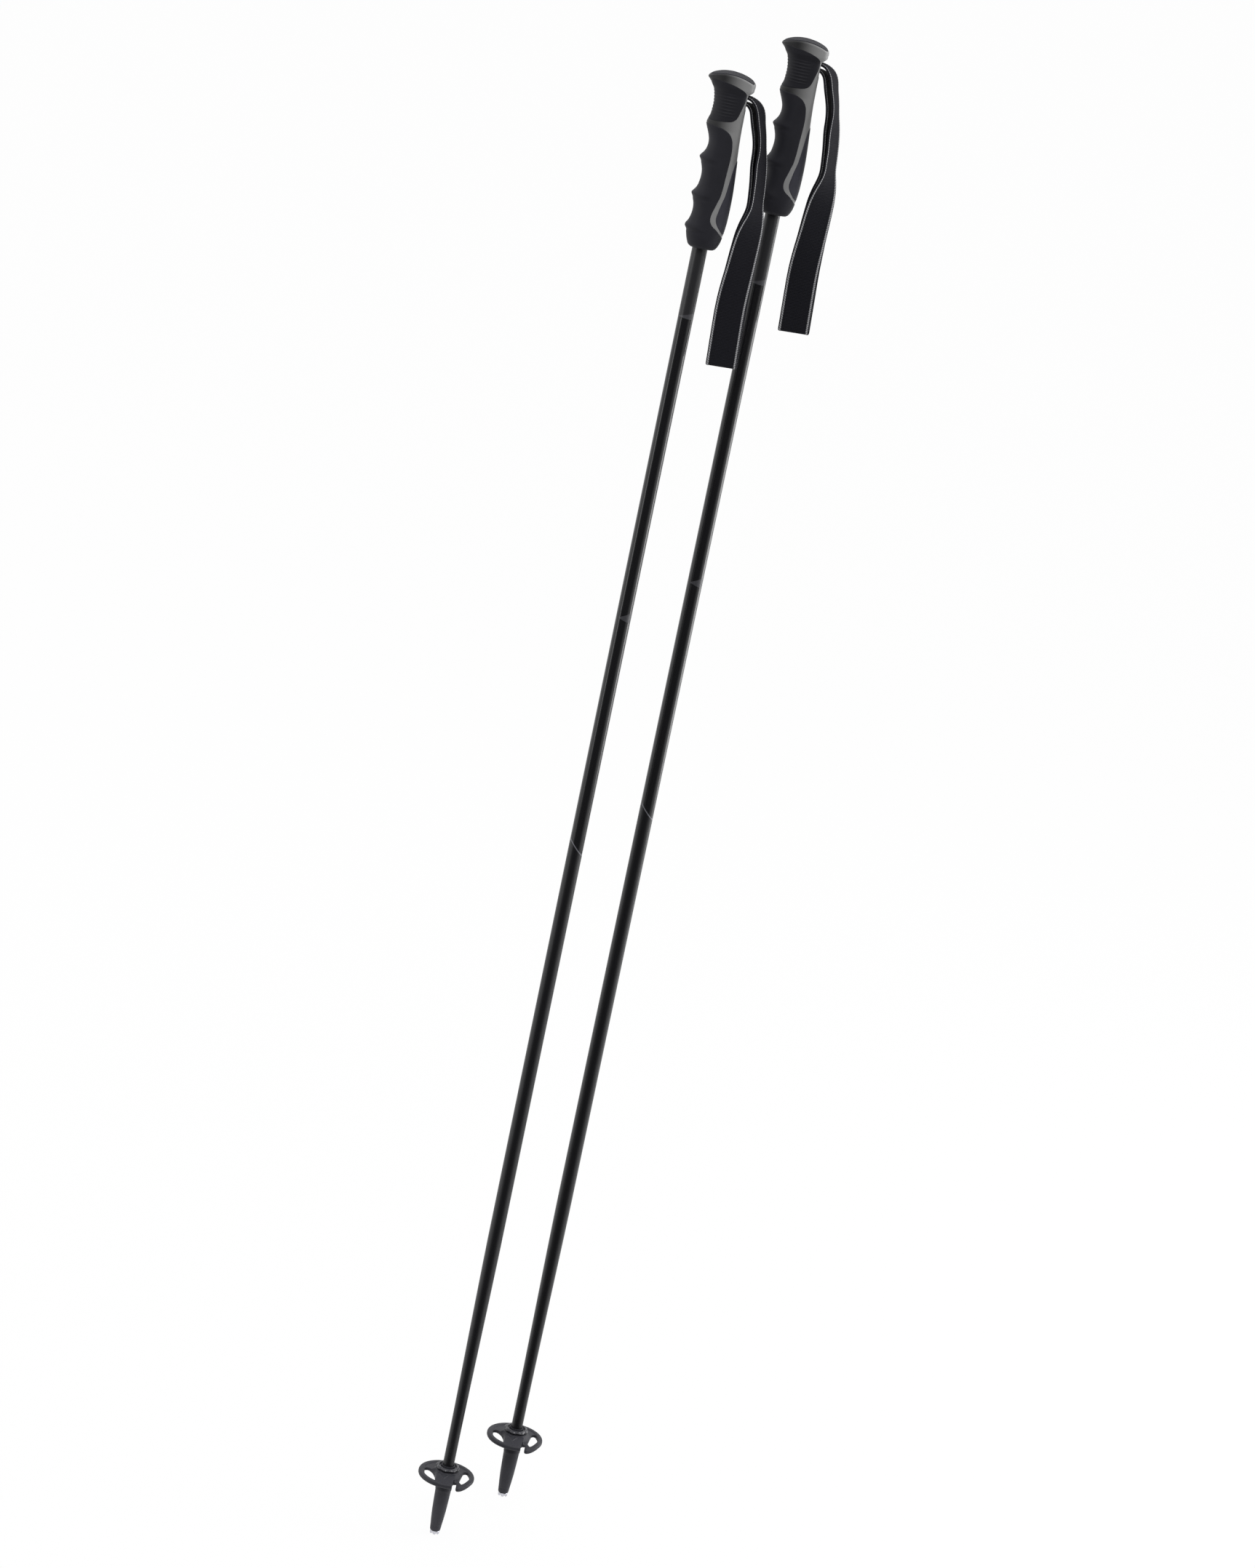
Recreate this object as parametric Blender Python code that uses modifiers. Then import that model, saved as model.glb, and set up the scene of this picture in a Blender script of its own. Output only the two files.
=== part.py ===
"""A pair of one-piece snow poles with wrist straps, modelled upright in metres.

Each pole stands on its steel tip with its shaft along Z. -X is the front of the grip, with the
finger ridges, and +X is the back, where the strap leaves the head. The right pole is a copy of
the left one, set aside, behind it and a little higher.
"""

import math

import bmesh
import bpy
import numpy as np
from mathutils import Matrix, Vector

# The pair
POLE_LENGTH = 1.300
PAIR_ASIDE = 0.052
PAIR_BEHIND = 0.0300
PAIR_RISE = 0.0346

# Clearances between neighbours
SEAT_GAP = 0.0003
TURN_GAP = 0.0003
SLOT_GAP = 0.0007

# Shaft tube
SHAFT_DIAMETER = 0.0126
SHAFT_WALL = 0.0011
SHAFT_FOOT_DIAMETER = 0.0098
TAPER_TOP = 0.275
TAPER_BOTTOM = 0.100

# Steel tip
TIP_DIAMETER = 0.0084
TIP_HEIGHT = 0.0030
TIP_LAND = 0.0013
TIP_HOLLOW = 0.0016
STEM_DIAMETER = 0.0050
STEM_LENGTH = 0.0110
TIP_NOTCH_CUTS = 3
TIP_NOTCH_WIDTH = 0.0015
TIP_NOTCH_DEPTH = 0.0011

# Ferrule
NOSE_DIAMETER = 0.0092
NOSE_CHAMFER = 0.0004
CONE_DIAMETER = 0.0144
CONE_LENGTH = 0.0457
CONE_WAIST_DIAMETER = 0.0123
CONE_WAIST_RISE = 0.0187
BARREL_DIAMETER = 0.0130
COLLAR_SEAT_DIAMETER = 0.0120
COLLAR_SEAT_LENGTH = 0.0040
SOCKET_FLOOR = 0.0080

# Basket
BASKET_DIAMETER = 0.0496
HUB_DIAMETER = 0.0210
HUB_HEIGHT = 0.0130
HUB_CHAMFER = 0.0010
RIM_RISE = 0.0052
RIM_HEIGHT = 0.0042
RIM_WIDTH = 0.0040
RIM_ROUNDING = 0.0013
WEB_THICKNESS = 0.0026
SLIT_ASIDE = 0.0085
SLIT_WIDTH = 0.0026
SLIT_START = 0.0150
# The two windows' corners in plan, (x, y, corner radius), either side of the solid front
WINDOWS = {
    'left': (
        (-0.0196, 0.0022, 0.0014),
        (-0.0162, 0.0040, 0.0014),
        (-0.0107, -0.0020, 0.0014),
        (-0.0088, -0.0064, 0.0014),
        (-0.0088, -0.0185, 0.0014),
        (-0.0142, -0.0148, 0.0060),
        (-0.0186, -0.0086, 0.0060),
    ),
    'right': (
        (0.0122, -0.0124, 0.0014),
        (0.0134, 0.0000, 0.0060),
        (0.0146, 0.0086, 0.0014),
        (0.0174, 0.0102, 0.0014),
        (0.0203, 0.0030, 0.0060),
        (0.0200, -0.0046, 0.0060),
        (0.0176, -0.0105, 0.0060),
        (0.0150, -0.0140, 0.0014),
    ),
}

# Collar over the basket
COLLAR_DIAMETER = 0.0214
COLLAR_HEIGHT = 0.0034
COLLAR_CHAMFER = 0.0006
COLLAR_LIP = 0.0030
COLLAR_RECESS = 0.0016
SCALLOP_COUNT = 8
SCALLOP_START = math.radians(15)
SCALLOP_RADIUS = 0.0050
SCALLOP_BITE = 0.0007

# Grip outline: reaches are measured from the shaft's axis
RIDGE_HEIGHTS = (0.0161, 0.0429, 0.0726, 0.1012)
RIDGE_REACH = 0.0157
FINGER_DEPTH = 0.0036
FINGER_DEEPENING = 0.0005
INDEX_HOLLOW = 0.0360
INDEX_DEPTH = 0.0054
FRONT_FOOT_REACH = 0.0104
REAR_FOOT_REACH = 0.0130
HEEL_REACH = 0.0169
NECK_REACH = 0.0133
HEAD_FRONT_REACH = 0.0212
HEAD_REAR_REACH = 0.0177
FOOT_HALF_WIDTH = 0.0108
PALM_HALF_WIDTH = 0.0144
NECK_HALF_WIDTH = 0.0150
HEAD_HALF_WIDTH = 0.0165
HEAD_SKIRT = 0.0055
HEAD_FLARE = 0.0055
CROWN_RISE = 0.0048
REAR_LIP_FALL = 0.0014
GRIP_SOCKET = 0.1000
CUSP = 0.85
FOOT_ROUNDNESS = 0.6
FRONT_SQUARENESS = 2.3
PALM_SQUARENESS = 2.5
NECK_SQUARENESS = 5.0

# Rubber pads let into the grip
PAD_DEPTH = 0.0018
BOOT_FLOOR = 0.0030
BAND_HEIGHT = 0.0041
BAND_ABOVE_RIDGE = 0.0010
STRIPE_WIDTH = 0.0032
STRIPE_KNEE_WIDTH = 0.0042
HEAD_BAND_HEIGHT = 0.0034
THUMB_PAD_REACH = 0.0111
THUMB_PAD_LOWER_REACH = 0.0085
THUMB_TOP_BREAK = 0.0028
THUMB_TOP_FALL = 0.0027
THUMB_SIDE_RISE = 0.0113
THUMB_TOP_ROUNDING = 0.0200
THUMB_CORNER_ROUNDING = 0.0070
THUMB_SIDE_ROUNDING = 0.0150
THUMB_FOOT_ROUNDING = 0.0060
FINGER_PAD_REACH = 0.0091
FINGER_TOP_FALL = 0.0016
FINGER_TOP_ROUNDING = 0.0100
BEND_ROUNDING = 0.0300
KNEE_REACH = 0.0023
KNEE_HEIGHT = 0.0085
KNEE_DROP = 0.0143
KNEE_TAIL_FALL = 0.0085
KNEE_ROUNDING = 0.0040
HEEL_TOP_ROUNDING = 0.0010
HEEL_KNEE_ROUNDING = 0.0030
HEEL_POINT_HEIGHT = 0.0030

# Strap lock in the head's top
CAP_MARGIN = 0.0014
CAP_THICKNESS = 0.0020
CAP_PROUD = 0.0006
WEDGE_LENGTH = 0.0100
WEDGE_WIDTH = 0.0150
WEDGE_BELOW_PIN = 0.0010

# Strap and its pin
PIN_DIAMETER = 0.0030
PIN_BITE = 0.0013
PIN_DROP = 0.0140
PIN_INSET = 0.0045
STRAP_WIDTH = 0.0242
STRAP_ROOT_WIDTH = 0.0184
WEBBING_THICKNESS = 0.0016
WEBBING_LAY_GAP = 0.0010
STRAP_STAGGER = 0.0012
STRAP_LIFT = math.radians(30)
STRAP_DIP = math.radians(38)
STRAP_ROOT_TWIST = math.radians(20)
STRAP_FULL_TWIST = math.radians(90)
# Stretches of webbing, from the pin, over which it widens, twists, closes up and staggers
WIDENING = (0.0043, 0.0303)
ROOT_TWISTING = (0.0, 0.0325)
FULL_TWISTING = (0.0670, 0.1430)
CLOSING = (0.0060, 0.0340)
STAGGERING = (0.0865, 0.1300)
# The middle of the hanging loop, from the pin to the fold, back of the grip by down
STRAP_ROUTE = (
    (0.0000, 0.0000),
    (0.0077, -0.0015),
    (0.0137, -0.0070),
    (0.0172, -0.0178),
    (0.0207, -0.0303),
    (0.0237, -0.0478),
    (0.0262, -0.0648),
    (0.0279, -0.0878),
    (0.0272, -0.1078),
    (0.0263, -0.1308),
    (0.0255, -0.1528),
    (0.0255, -0.1678),
    (0.0262, -0.1848),
    (0.0275, -0.2130),
)

# Pieces whose heights are measured from the grip's lower edge
GRIP_PIECES = ('grip_core', 'thumb_pad', 'finger_pad', 'heel_pad', 'strap_lock', 'strap_pin')

# Facets, with the shares of each stretch of the grip where sections are taken
ROUND_STEPS = 16
BASKET_STEPS = 20
SCALLOP_STEPS = 12
PIN_STEPS = 12
GRIP_SIDES = 16
ARC_STEPS = 4
ROUTE_STEPS = 12
STRAP_LEG_STEPS = 20
STRAP_TURN_STEPS = 6
FOOT_STATIONS = (0, 0.25)
FINGER_STATIONS = (0, 0.18, 0.5, 0.82)
INDEX_STATIONS = (0, 0.15, 0.45)
SHARP_ANGLE = math.radians(32)
NEARLY_STRAIGHT = math.radians(179)
MERGE = 0.000001

# How far a cutter runs past what it cuts
CUT_OVERRUN = 0.0080

# Heights on the pole, from the tip's end
nose_z = TIP_HEIGHT + SEAT_GAP
stem_hole_z = TIP_HEIGHT + STEM_LENGTH + SEAT_GAP
socket_floor_z = stem_hole_z + SOCKET_FLOOR
shaft_bottom_z = socket_floor_z + SEAT_GAP
basket_seat_z = nose_z + CONE_LENGTH
hub_bottom_z = basket_seat_z + TURN_GAP
hub_top_z = hub_bottom_z + HUB_HEIGHT
collar_bottom_z = hub_top_z + TURN_GAP
collar_seat_z = collar_bottom_z - SEAT_GAP
ferrule_top_z = collar_bottom_z + COLLAR_SEAT_LENGTH

# Heights on the grip, from its lower edge
ridges = RIDGE_HEIGHTS
head_lip = ridges[-1] + INDEX_HOLLOW
skirt_top = head_lip - HEAD_SKIRT
skirt_bottom = skirt_top - HEAD_FLARE
# The crown's arc runs from the front lip over to the lower rear lip
head_span = HEAD_FRONT_REACH + HEAD_REAR_REACH
crown_chord = math.hypot(head_span, REAR_LIP_FALL)
crown_radius = (crown_chord ** 2 / 4 + CROWN_RISE ** 2) / (2 * CROWN_RISE)
crown_x = ((HEAD_REAR_REACH - HEAD_FRONT_REACH) / 2
           - (crown_radius - CROWN_RISE) * REAR_LIP_FALL / crown_chord)
crown_z = (head_lip - REAR_LIP_FALL / 2
           - (crown_radius - CROWN_RISE) * head_span / crown_chord)
crown_top = crown_z + crown_radius
pin_height = head_lip - PIN_DROP
grip_z = POLE_LENGTH - CAP_PROUD - crown_top
shaft_top_z = grip_z + GRIP_SOCKET - SEAT_GAP

# Sizes that the strap, its pin and its slot share
pin_x = NECK_REACH - PIN_INSET
loop_radius = PIN_DIAMETER / 2 + TURN_GAP + WEBBING_THICKNESS
slot_radius = loop_radius + SLOT_GAP
slot_half_width = STRAP_ROOT_WIDTH / 2 + SLOT_GAP
pin_half_length = slot_half_width + PIN_BITE
far = head_span + CUT_OVERRUN


def clear_scene():
    for thing in list(bpy.data.objects):
        bpy.data.objects.remove(thing, do_unlink=True)


def collection(name):
    made = bpy.data.collections.new(name)
    bpy.context.scene.collection.children.link(made)
    return made


def add_object(name, mesh, where):
    made = bpy.data.objects.new(name, mesh)
    where.objects.link(made)
    return made


def as_cutter(piece):
    piece.hide_render = True
    piece.display_type = 'WIRE'
    return piece


def mesh_from_bmesh(name, shape):
    mesh = bpy.data.meshes.new(name)
    shape.to_mesh(mesh)
    shape.free()
    return mesh


def evaluated_mesh(piece):
    bpy.context.view_layer.update()
    graph = bpy.context.evaluated_depsgraph_get()
    return bpy.data.meshes.new_from_object(piece.evaluated_get(graph))


def turned(name, profile, steps, closed=True):
    """A solid of revolution: the profile's (radius, height) points run down its outer side."""
    mesh = bpy.data.meshes.new(name)
    edges = [(i, i + 1) for i in range(len(profile) - 1)]
    if closed:
        edges.append((len(profile) - 1, 0))
    mesh.from_pydata([(r, 0, z) for r, z in profile], edges, [])
    piece = add_object(name, mesh, workshop)
    screw = piece.modifiers.new('turn', 'SCREW')
    screw.steps = steps
    screw.render_steps = steps
    screw.use_merge_vertices = True
    screw.merge_threshold = MERGE
    return piece


def rod(name, radius, start, end, steps):
    """A capped cylinder from one point to another."""
    shape = bmesh.new()
    along = Vector(end) - Vector(start)
    bmesh.ops.create_cone(shape, cap_ends=True, segments=steps, radius1=radius, radius2=radius,
                          depth=along.length)
    turn = along.to_track_quat('Z', 'Y').to_matrix().to_4x4()
    place = Matrix.Translation((Vector(start) + Vector(end)) / 2) @ turn
    bmesh.ops.transform(shape, matrix=place, verts=shape.verts)
    return add_object(name, mesh_from_bmesh(name, shape), workshop)


def block(name, low, high):
    """A box between two corners."""
    shape = bmesh.new()
    bmesh.ops.create_cube(shape, size=1)
    size = Vector(high) - Vector(low)
    place = Matrix.Translation((Vector(low) + Vector(high)) / 2) @ Matrix.Diagonal(size.to_4d())
    bmesh.ops.transform(shape, matrix=place, verts=shape.verts)
    return add_object(name, mesh_from_bmesh(name, shape), workshop)


def slab(name, outline, half_depth, upright=True):
    """A flat outline given thickness: upright outlines are (x, z), others (x, y)."""
    flat = bpy.data.curves.new(name, 'CURVE')
    flat.dimensions = '2D'
    flat.fill_mode = 'BOTH'
    flat.extrude = half_depth
    spline = flat.splines.new('POLY')
    spline.points.add(len(outline) - 1)
    for point, (across, up) in zip(spline.points, outline):
        point.co = (across, up, 0, 1)
    spline.use_cyclic_u = True
    guide = add_object(name, flat, workshop)
    mesh = evaluated_mesh(guide)
    bpy.data.objects.remove(guide)
    shape = bmesh.new()
    shape.from_mesh(mesh)
    bmesh.ops.remove_doubles(shape, verts=shape.verts, dist=MERGE)
    if upright:
        turn = Matrix.Rotation(math.pi / 2, 4, 'X')
        bmesh.ops.transform(shape, matrix=turn, verts=shape.verts)
    bmesh.ops.recalc_face_normals(shape, faces=shape.faces)
    bpy.data.meshes.remove(mesh)
    return add_object(name, mesh_from_bmesh(name, shape), workshop)


def loft(name, rings):
    """A closed skin through rings with the same count of points, capped at both ends."""
    shape = bmesh.new()
    rows = [[shape.verts.new(point) for point in ring] for ring in rings]
    count = len(rows[0])
    for lower, upper in zip(rows, rows[1:]):
        for i in range(count):
            j = (i + 1) % count
            shape.faces.new((lower[i], lower[j], upper[j], upper[i]))
    shape.faces.new(list(reversed(rows[0])))
    shape.faces.new(rows[-1])
    bmesh.ops.triangulate(shape, faces=[face for face in shape.faces if len(face.verts) == 4])
    bmesh.ops.recalc_face_normals(shape, faces=shape.faces)
    return add_object(name, mesh_from_bmesh(name, shape), workshop)


def combine(piece, other, operation):
    """Cut the other shape out of a piece, join it on, or keep what they share."""
    change = piece.modifiers.new(other.name, 'BOOLEAN')
    change.operation = operation
    change.solver = 'EXACT'
    change.object = as_cutter(other)
    return piece


def cut(piece, *others):
    for other in others:
        combine(piece, other, 'DIFFERENCE')
    return piece


def arc(centre, radius, start, end, steps=ARC_STEPS):
    """Points on an arc about a centre, ends included."""
    angles = np.linspace(start, end, steps + 1)
    return [(centre[0] + radius * math.cos(a), centre[1] + radius * math.sin(a)) for a in angles]


def rounded(corners):
    """An outline whose corners (x, z, radius) are rounded by arcs that touch both sides."""
    outline = []
    for i, (x, z, radius) in enumerate(corners):
        here = np.array((x, z))
        back = np.array(corners[i - 1][:2]) - here
        ahead = np.array(corners[(i + 1) % len(corners)][:2]) - here
        back /= np.linalg.norm(back)
        ahead /= np.linalg.norm(ahead)
        half = math.acos(np.clip(back @ ahead, -1, 1)) / 2
        if radius == 0 or 2 * half > NEARLY_STRAIGHT:
            outline.append((x, z))
            continue
        middle = (back + ahead) / np.linalg.norm(back + ahead)
        centre = here + middle * radius / math.sin(half)
        first = here + back * radius / math.tan(half) - centre
        last = here + ahead * radius / math.tan(half) - centre
        start = math.atan2(first[1], first[0])
        sweep = math.atan2(last[1], last[0]) - start
        sweep = (sweep + math.pi) % (2 * math.pi) - math.pi
        outline += arc(centre, radius, start, start + sweep)
    return outline


def grown(outline, gap):
    """The outline moved outwards by a gap."""
    points = np.array(outline)
    sides = np.roll(points, -1, axis=0) - points
    sides /= np.linalg.norm(sides, axis=1)[:, None]
    area = np.sum(points[:, 0] * np.roll(points[:, 1], -1) - points[:, 1] * np.roll(points[:, 0], -1))
    outward = np.stack((sides[:, 1], -sides[:, 0]), axis=1) * math.copysign(1, area)
    before = np.roll(outward, 1, axis=0)
    mitre = before + outward
    mitre /= np.sum(mitre * outward, axis=1)[:, None]
    return [tuple(point) for point in points + gap * mitre]


def ease(value, start, end):
    """A smooth step from 0 at the start to 1 at the end."""
    t = np.clip((value - start) / (end - start), 0, 1)
    return t * t * (3 - 2 * t)


def hollow(height, low, low_reach, high, high_reach, depth):
    """The reach of a finger hollow that runs from one ridge to the next."""
    t = (height - low) / (high - low)
    chord = low_reach + (high_reach - low_reach) * t
    return chord - depth * math.sin(math.pi * t) ** CUSP


def foot_swell(height, foot, full, top):
    """The rounded lower end of the grip, from its foot up to its full reach."""
    t = min(max(height, 0) / top, 1)
    return foot + (full - foot) * math.sin(math.pi / 2 * t) ** FOOT_ROUNDNESS


def front_reach(height):
    if height <= ridges[0]:
        return FRONT_FOOT_REACH + (RIDGE_REACH - FRONT_FOOT_REACH) * max(height, 0) / ridges[0]
    for k, (low, high) in enumerate(zip(ridges, ridges[1:])):
        if height <= high:
            depth = FINGER_DEPTH + k * FINGER_DEEPENING
            return hollow(height, low, RIDGE_REACH, high, RIDGE_REACH, depth)
    if height < head_lip:
        return hollow(height, ridges[-1], RIDGE_REACH, head_lip, HEAD_FRONT_REACH, INDEX_DEPTH)
    return HEAD_FRONT_REACH


def rear_reach(height):
    if height <= ridges[1]:
        return foot_swell(height, REAR_FOOT_REACH, HEEL_REACH, ridges[1])
    waist = HEEL_REACH + (NECK_REACH - HEEL_REACH) * ease(height, ridges[1], ridges[-1])
    return waist + (HEAD_REAR_REACH - NECK_REACH) * ease(height, skirt_bottom, skirt_top)


def half_width(height):
    palm = foot_swell(height, FOOT_HALF_WIDTH, PALM_HALF_WIDTH, ridges[0])
    neck = palm + (NECK_HALF_WIDTH - PALM_HALF_WIDTH) * ease(height, ridges[-2], ridges[-1])
    return neck + (HEAD_HALF_WIDTH - NECK_HALF_WIDTH) * ease(height, skirt_bottom, skirt_top)


def section(front, rear, width, rear_squareness, height):
    """A ring round the axis: a rounded oval in front and a squarer one behind."""
    ring = []
    for k in range(GRIP_SIDES):
        angle = 2 * math.pi * k / GRIP_SIDES
        c, s = math.cos(angle), math.sin(angle)
        reach, power = (rear, 2 / rear_squareness) if c >= 0 else (front, 2 / FRONT_SQUARENESS)
        x = math.copysign(abs(c) ** power, c) * reach
        y = math.copysign(abs(s) ** power, s) * width
        ring.append((x, y, height))
    return ring


def grip_ring(height, inset=0.0):
    """The grip's section at a height, drawn in by an inset that leaves the neck's back alone."""
    squareness = PALM_SQUARENESS + (NECK_SQUARENESS - PALM_SQUARENESS) * ease(
        height, ridges[-2], ridges[-1])
    back_inset = inset * (1 - ease(height, ridges[-1] - SEAT_GAP, ridges[-1] + BAND_HEIGHT))
    return section(front_reach(height) - inset, rear_reach(height) - back_inset,
                   half_width(height) - inset, squareness, height)


def grip_heights(start):
    """Heights of the grip's sections: close together where the outline turns."""
    heights = [start + (ridges[0] - start) * t for t in FOOT_STATIONS]
    for low, high in zip(ridges, ridges[1:]):
        heights += [low + (high - low) * t for t in FINGER_STATIONS]
    heights += [ridges[-1] + INDEX_HOLLOW * t for t in INDEX_STATIONS]
    heights += [skirt_bottom, skirt_top, head_lip, crown_top + CUT_OVERRUN]
    return heights


def grip_solid(name, start=0.0, inset=0.0):
    return loft(name, [grip_ring(height, inset) for height in grip_heights(start)])


def pad_outlines():
    """Side outlines, (x, z, corner radius), of the three pads."""
    band_top = ridges[-1] + BAND_ABOVE_RIDGE
    band_bottom = band_top - BAND_HEIGHT
    thumb_top = head_lip - HEAD_BAND_HEIGHT
    knee = ridges[0] + KNEE_HEIGHT
    bend = (ridges[1] + ridges[2]) / 2
    tail = knee - KNEE_DROP
    heel_reach = FINGER_PAD_REACH + STRIPE_WIDTH
    thumb = [
        (-far, thumb_top, 0),
        (-THUMB_TOP_BREAK, thumb_top, THUMB_TOP_ROUNDING),
        (THUMB_PAD_REACH, thumb_top - THUMB_TOP_FALL, THUMB_CORNER_ROUNDING),
        (THUMB_PAD_REACH, band_top + THUMB_SIDE_RISE, THUMB_SIDE_ROUNDING),
        (THUMB_PAD_LOWER_REACH, band_top, THUMB_FOOT_ROUNDING),
        (-far, band_top, 0),
    ]
    finger = [
        (-far, band_bottom, 0),
        (FINGER_PAD_REACH, band_bottom - FINGER_TOP_FALL, FINGER_TOP_ROUNDING),
        (FINGER_PAD_REACH, bend, BEND_ROUNDING),
        (KNEE_REACH, knee, KNEE_ROUNDING),
        (HEEL_REACH, tail, 0),
        (far, tail - KNEE_TAIL_FALL, 0),
        (far, -far, 0),
        (-far, -far, 0),
    ]
    heel = [
        (far, band_bottom, 0),
        (heel_reach, band_bottom, HEEL_TOP_ROUNDING),
        (heel_reach, bend, BEND_ROUNDING),
        (KNEE_REACH + STRIPE_KNEE_WIDTH, knee, HEEL_KNEE_ROUNDING),
        (HEEL_REACH, tail + HEEL_POINT_HEIGHT, 0),
        (far, tail + HEEL_POINT_HEIGHT, 0),
    ]
    return {'thumb_pad': rounded(thumb), 'finger_pad': rounded(finger), 'heel_pad': rounded(heel)}


def make_shaft():
    top_r = SHAFT_DIAMETER / 2
    foot_r = SHAFT_FOOT_DIAMETER / 2
    profile = [
        (top_r, shaft_top_z),
        (top_r, TAPER_TOP),
        (foot_r, TAPER_BOTTOM),
        (foot_r, shaft_bottom_z),
        (foot_r - SHAFT_WALL, shaft_bottom_z),
        (foot_r - SHAFT_WALL, TAPER_BOTTOM),
        (top_r - SHAFT_WALL, TAPER_TOP),
        (top_r - SHAFT_WALL, shaft_top_z),
    ]
    return turned('shaft', profile, ROUND_STEPS)


def make_tip():
    tip_r = TIP_DIAMETER / 2
    stem_r = STEM_DIAMETER / 2
    profile = [
        (0, TIP_HEIGHT + STEM_LENGTH),
        (stem_r, TIP_HEIGHT + STEM_LENGTH),
        (stem_r, TIP_HEIGHT),
        (tip_r, TIP_HEIGHT),
        (tip_r, 0),
        (tip_r - TIP_LAND, 0),
        (0, TIP_HOLLOW),
    ]
    piece = turned('tip', profile, ROUND_STEPS, closed=False)
    for k in range(TIP_NOTCH_CUTS):
        notch = block(f'tip_notch_{k}', (-TIP_DIAMETER, -TIP_NOTCH_WIDTH / 2, -CUT_OVERRUN),
                      (TIP_DIAMETER, TIP_NOTCH_WIDTH / 2, TIP_NOTCH_DEPTH))
        notch.rotation_euler.z = math.pi * (k + 0.5) / TIP_NOTCH_CUTS
        cut(piece, notch)
    return piece


def make_ferrule():
    bore_r = SHAFT_FOOT_DIAMETER / 2 + SEAT_GAP
    stem_r = STEM_DIAMETER / 2 + SEAT_GAP
    nose_r = NOSE_DIAMETER / 2
    profile = [
        (0, socket_floor_z),
        (bore_r, socket_floor_z),
        (bore_r, ferrule_top_z),
        (COLLAR_SEAT_DIAMETER / 2, ferrule_top_z),
        (COLLAR_SEAT_DIAMETER / 2, collar_seat_z),
        (BARREL_DIAMETER / 2, collar_seat_z),
        (BARREL_DIAMETER / 2, basket_seat_z),
        (CONE_DIAMETER / 2, basket_seat_z),
        (CONE_WAIST_DIAMETER / 2, nose_z + CONE_WAIST_RISE),
        (nose_r, nose_z + NOSE_CHAMFER),
        (nose_r - NOSE_CHAMFER, nose_z),
        (stem_r, nose_z),
        (stem_r, stem_hole_z),
        (0, stem_hole_z),
    ]
    return turned('ferrule', profile, ROUND_STEPS, closed=False)


def make_collar():
    collar_r = COLLAR_DIAMETER / 2
    bore_r = COLLAR_SEAT_DIAMETER / 2 + SEAT_GAP
    top = collar_bottom_z + COLLAR_HEIGHT
    profile = [
        (collar_r - COLLAR_LIP, top),
        (collar_r - COLLAR_CHAMFER, top),
        (collar_r, top - COLLAR_CHAMFER),
        (collar_r, collar_bottom_z),
        (bore_r, collar_bottom_z),
        (bore_r, top - COLLAR_RECESS),
        (collar_r - COLLAR_LIP, top - COLLAR_RECESS),
    ]
    piece = turned('basket_ring', profile, BASKET_STEPS)
    reach = collar_r + SCALLOP_RADIUS - SCALLOP_BITE
    for k in range(SCALLOP_COUNT):
        angle = SCALLOP_START + 2 * math.pi * k / SCALLOP_COUNT
        x, y = reach * math.cos(angle), reach * math.sin(angle)
        scallop = rod(f'scallop_{k}', SCALLOP_RADIUS, (x, y, collar_bottom_z - CUT_OVERRUN),
                      (x, y, top + CUT_OVERRUN), SCALLOP_STEPS)
        cut(piece, scallop)
    return piece


def make_basket():
    bore_r = BARREL_DIAMETER / 2 + TURN_GAP
    hub_r = HUB_DIAMETER / 2
    rim_r = BASKET_DIAMETER / 2
    inner_r = rim_r - RIM_WIDTH
    rim_bottom = RIM_RISE
    rim_top = rim_bottom + RIM_HEIGHT
    web_bottom = (rim_bottom + rim_top - WEB_THICKNESS) / 2
    web_top = web_bottom + WEB_THICKNESS
    step = (RIM_HEIGHT - WEB_THICKNESS) / 2
    profile = [
        (bore_r, HUB_HEIGHT),
        (hub_r - HUB_CHAMFER, HUB_HEIGHT),
        (hub_r, HUB_HEIGHT - HUB_CHAMFER),
        (hub_r, web_top),
        (inner_r, web_top),
        (inner_r + step, rim_top),
        (rim_r - RIM_ROUNDING, rim_top),
        (rim_r, rim_top - RIM_ROUNDING),
        (rim_r, rim_bottom + RIM_ROUNDING),
        (rim_r - RIM_ROUNDING, rim_bottom),
        (inner_r + step, rim_bottom),
        (inner_r, web_bottom),
        (hub_r, web_bottom),
        ((hub_r + bore_r) / 2, 0),
        (bore_r, 0),
    ]
    piece = turned('basket', profile, BASKET_STEPS)
    middle_z = (rim_bottom + rim_top) / 2
    for side, corners in WINDOWS.items():
        window = slab(f'{side}_window', rounded(corners), RIM_HEIGHT + CUT_OVERRUN, upright=False)
        window.location.z = middle_z
        cut(piece, window)
    slit_x = (SLIT_ASIDE - SLIT_WIDTH / 2, SLIT_ASIDE + SLIT_WIDTH / 2)
    slit = block('basket_slit', (slit_x[0], -rim_r - CUT_OVERRUN, rim_bottom - CUT_OVERRUN),
                 (slit_x[1], -SLIT_START, rim_top + CUT_OVERRUN))
    return cut(piece, slit)


def crown_band(name, low, high):
    """A slab between two arcs that follow the head's crown, so much above or below it."""
    centre = (crown_x, crown_z)
    lean = math.atan2(REAR_LIP_FALL, head_span)
    reach = math.asin(min((crown_chord / 2 + CUT_OVERRUN) / crown_radius, 1))
    up = math.pi / 2 - lean
    outline = (arc(centre, crown_radius + low, up - reach, up + reach, 2 * ARC_STEPS)
               + arc(centre, crown_radius + high, up + reach, up - reach, 2 * ARC_STEPS))
    return slab(name, outline, HEAD_HALF_WIDTH + CUT_OVERRUN)


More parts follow.
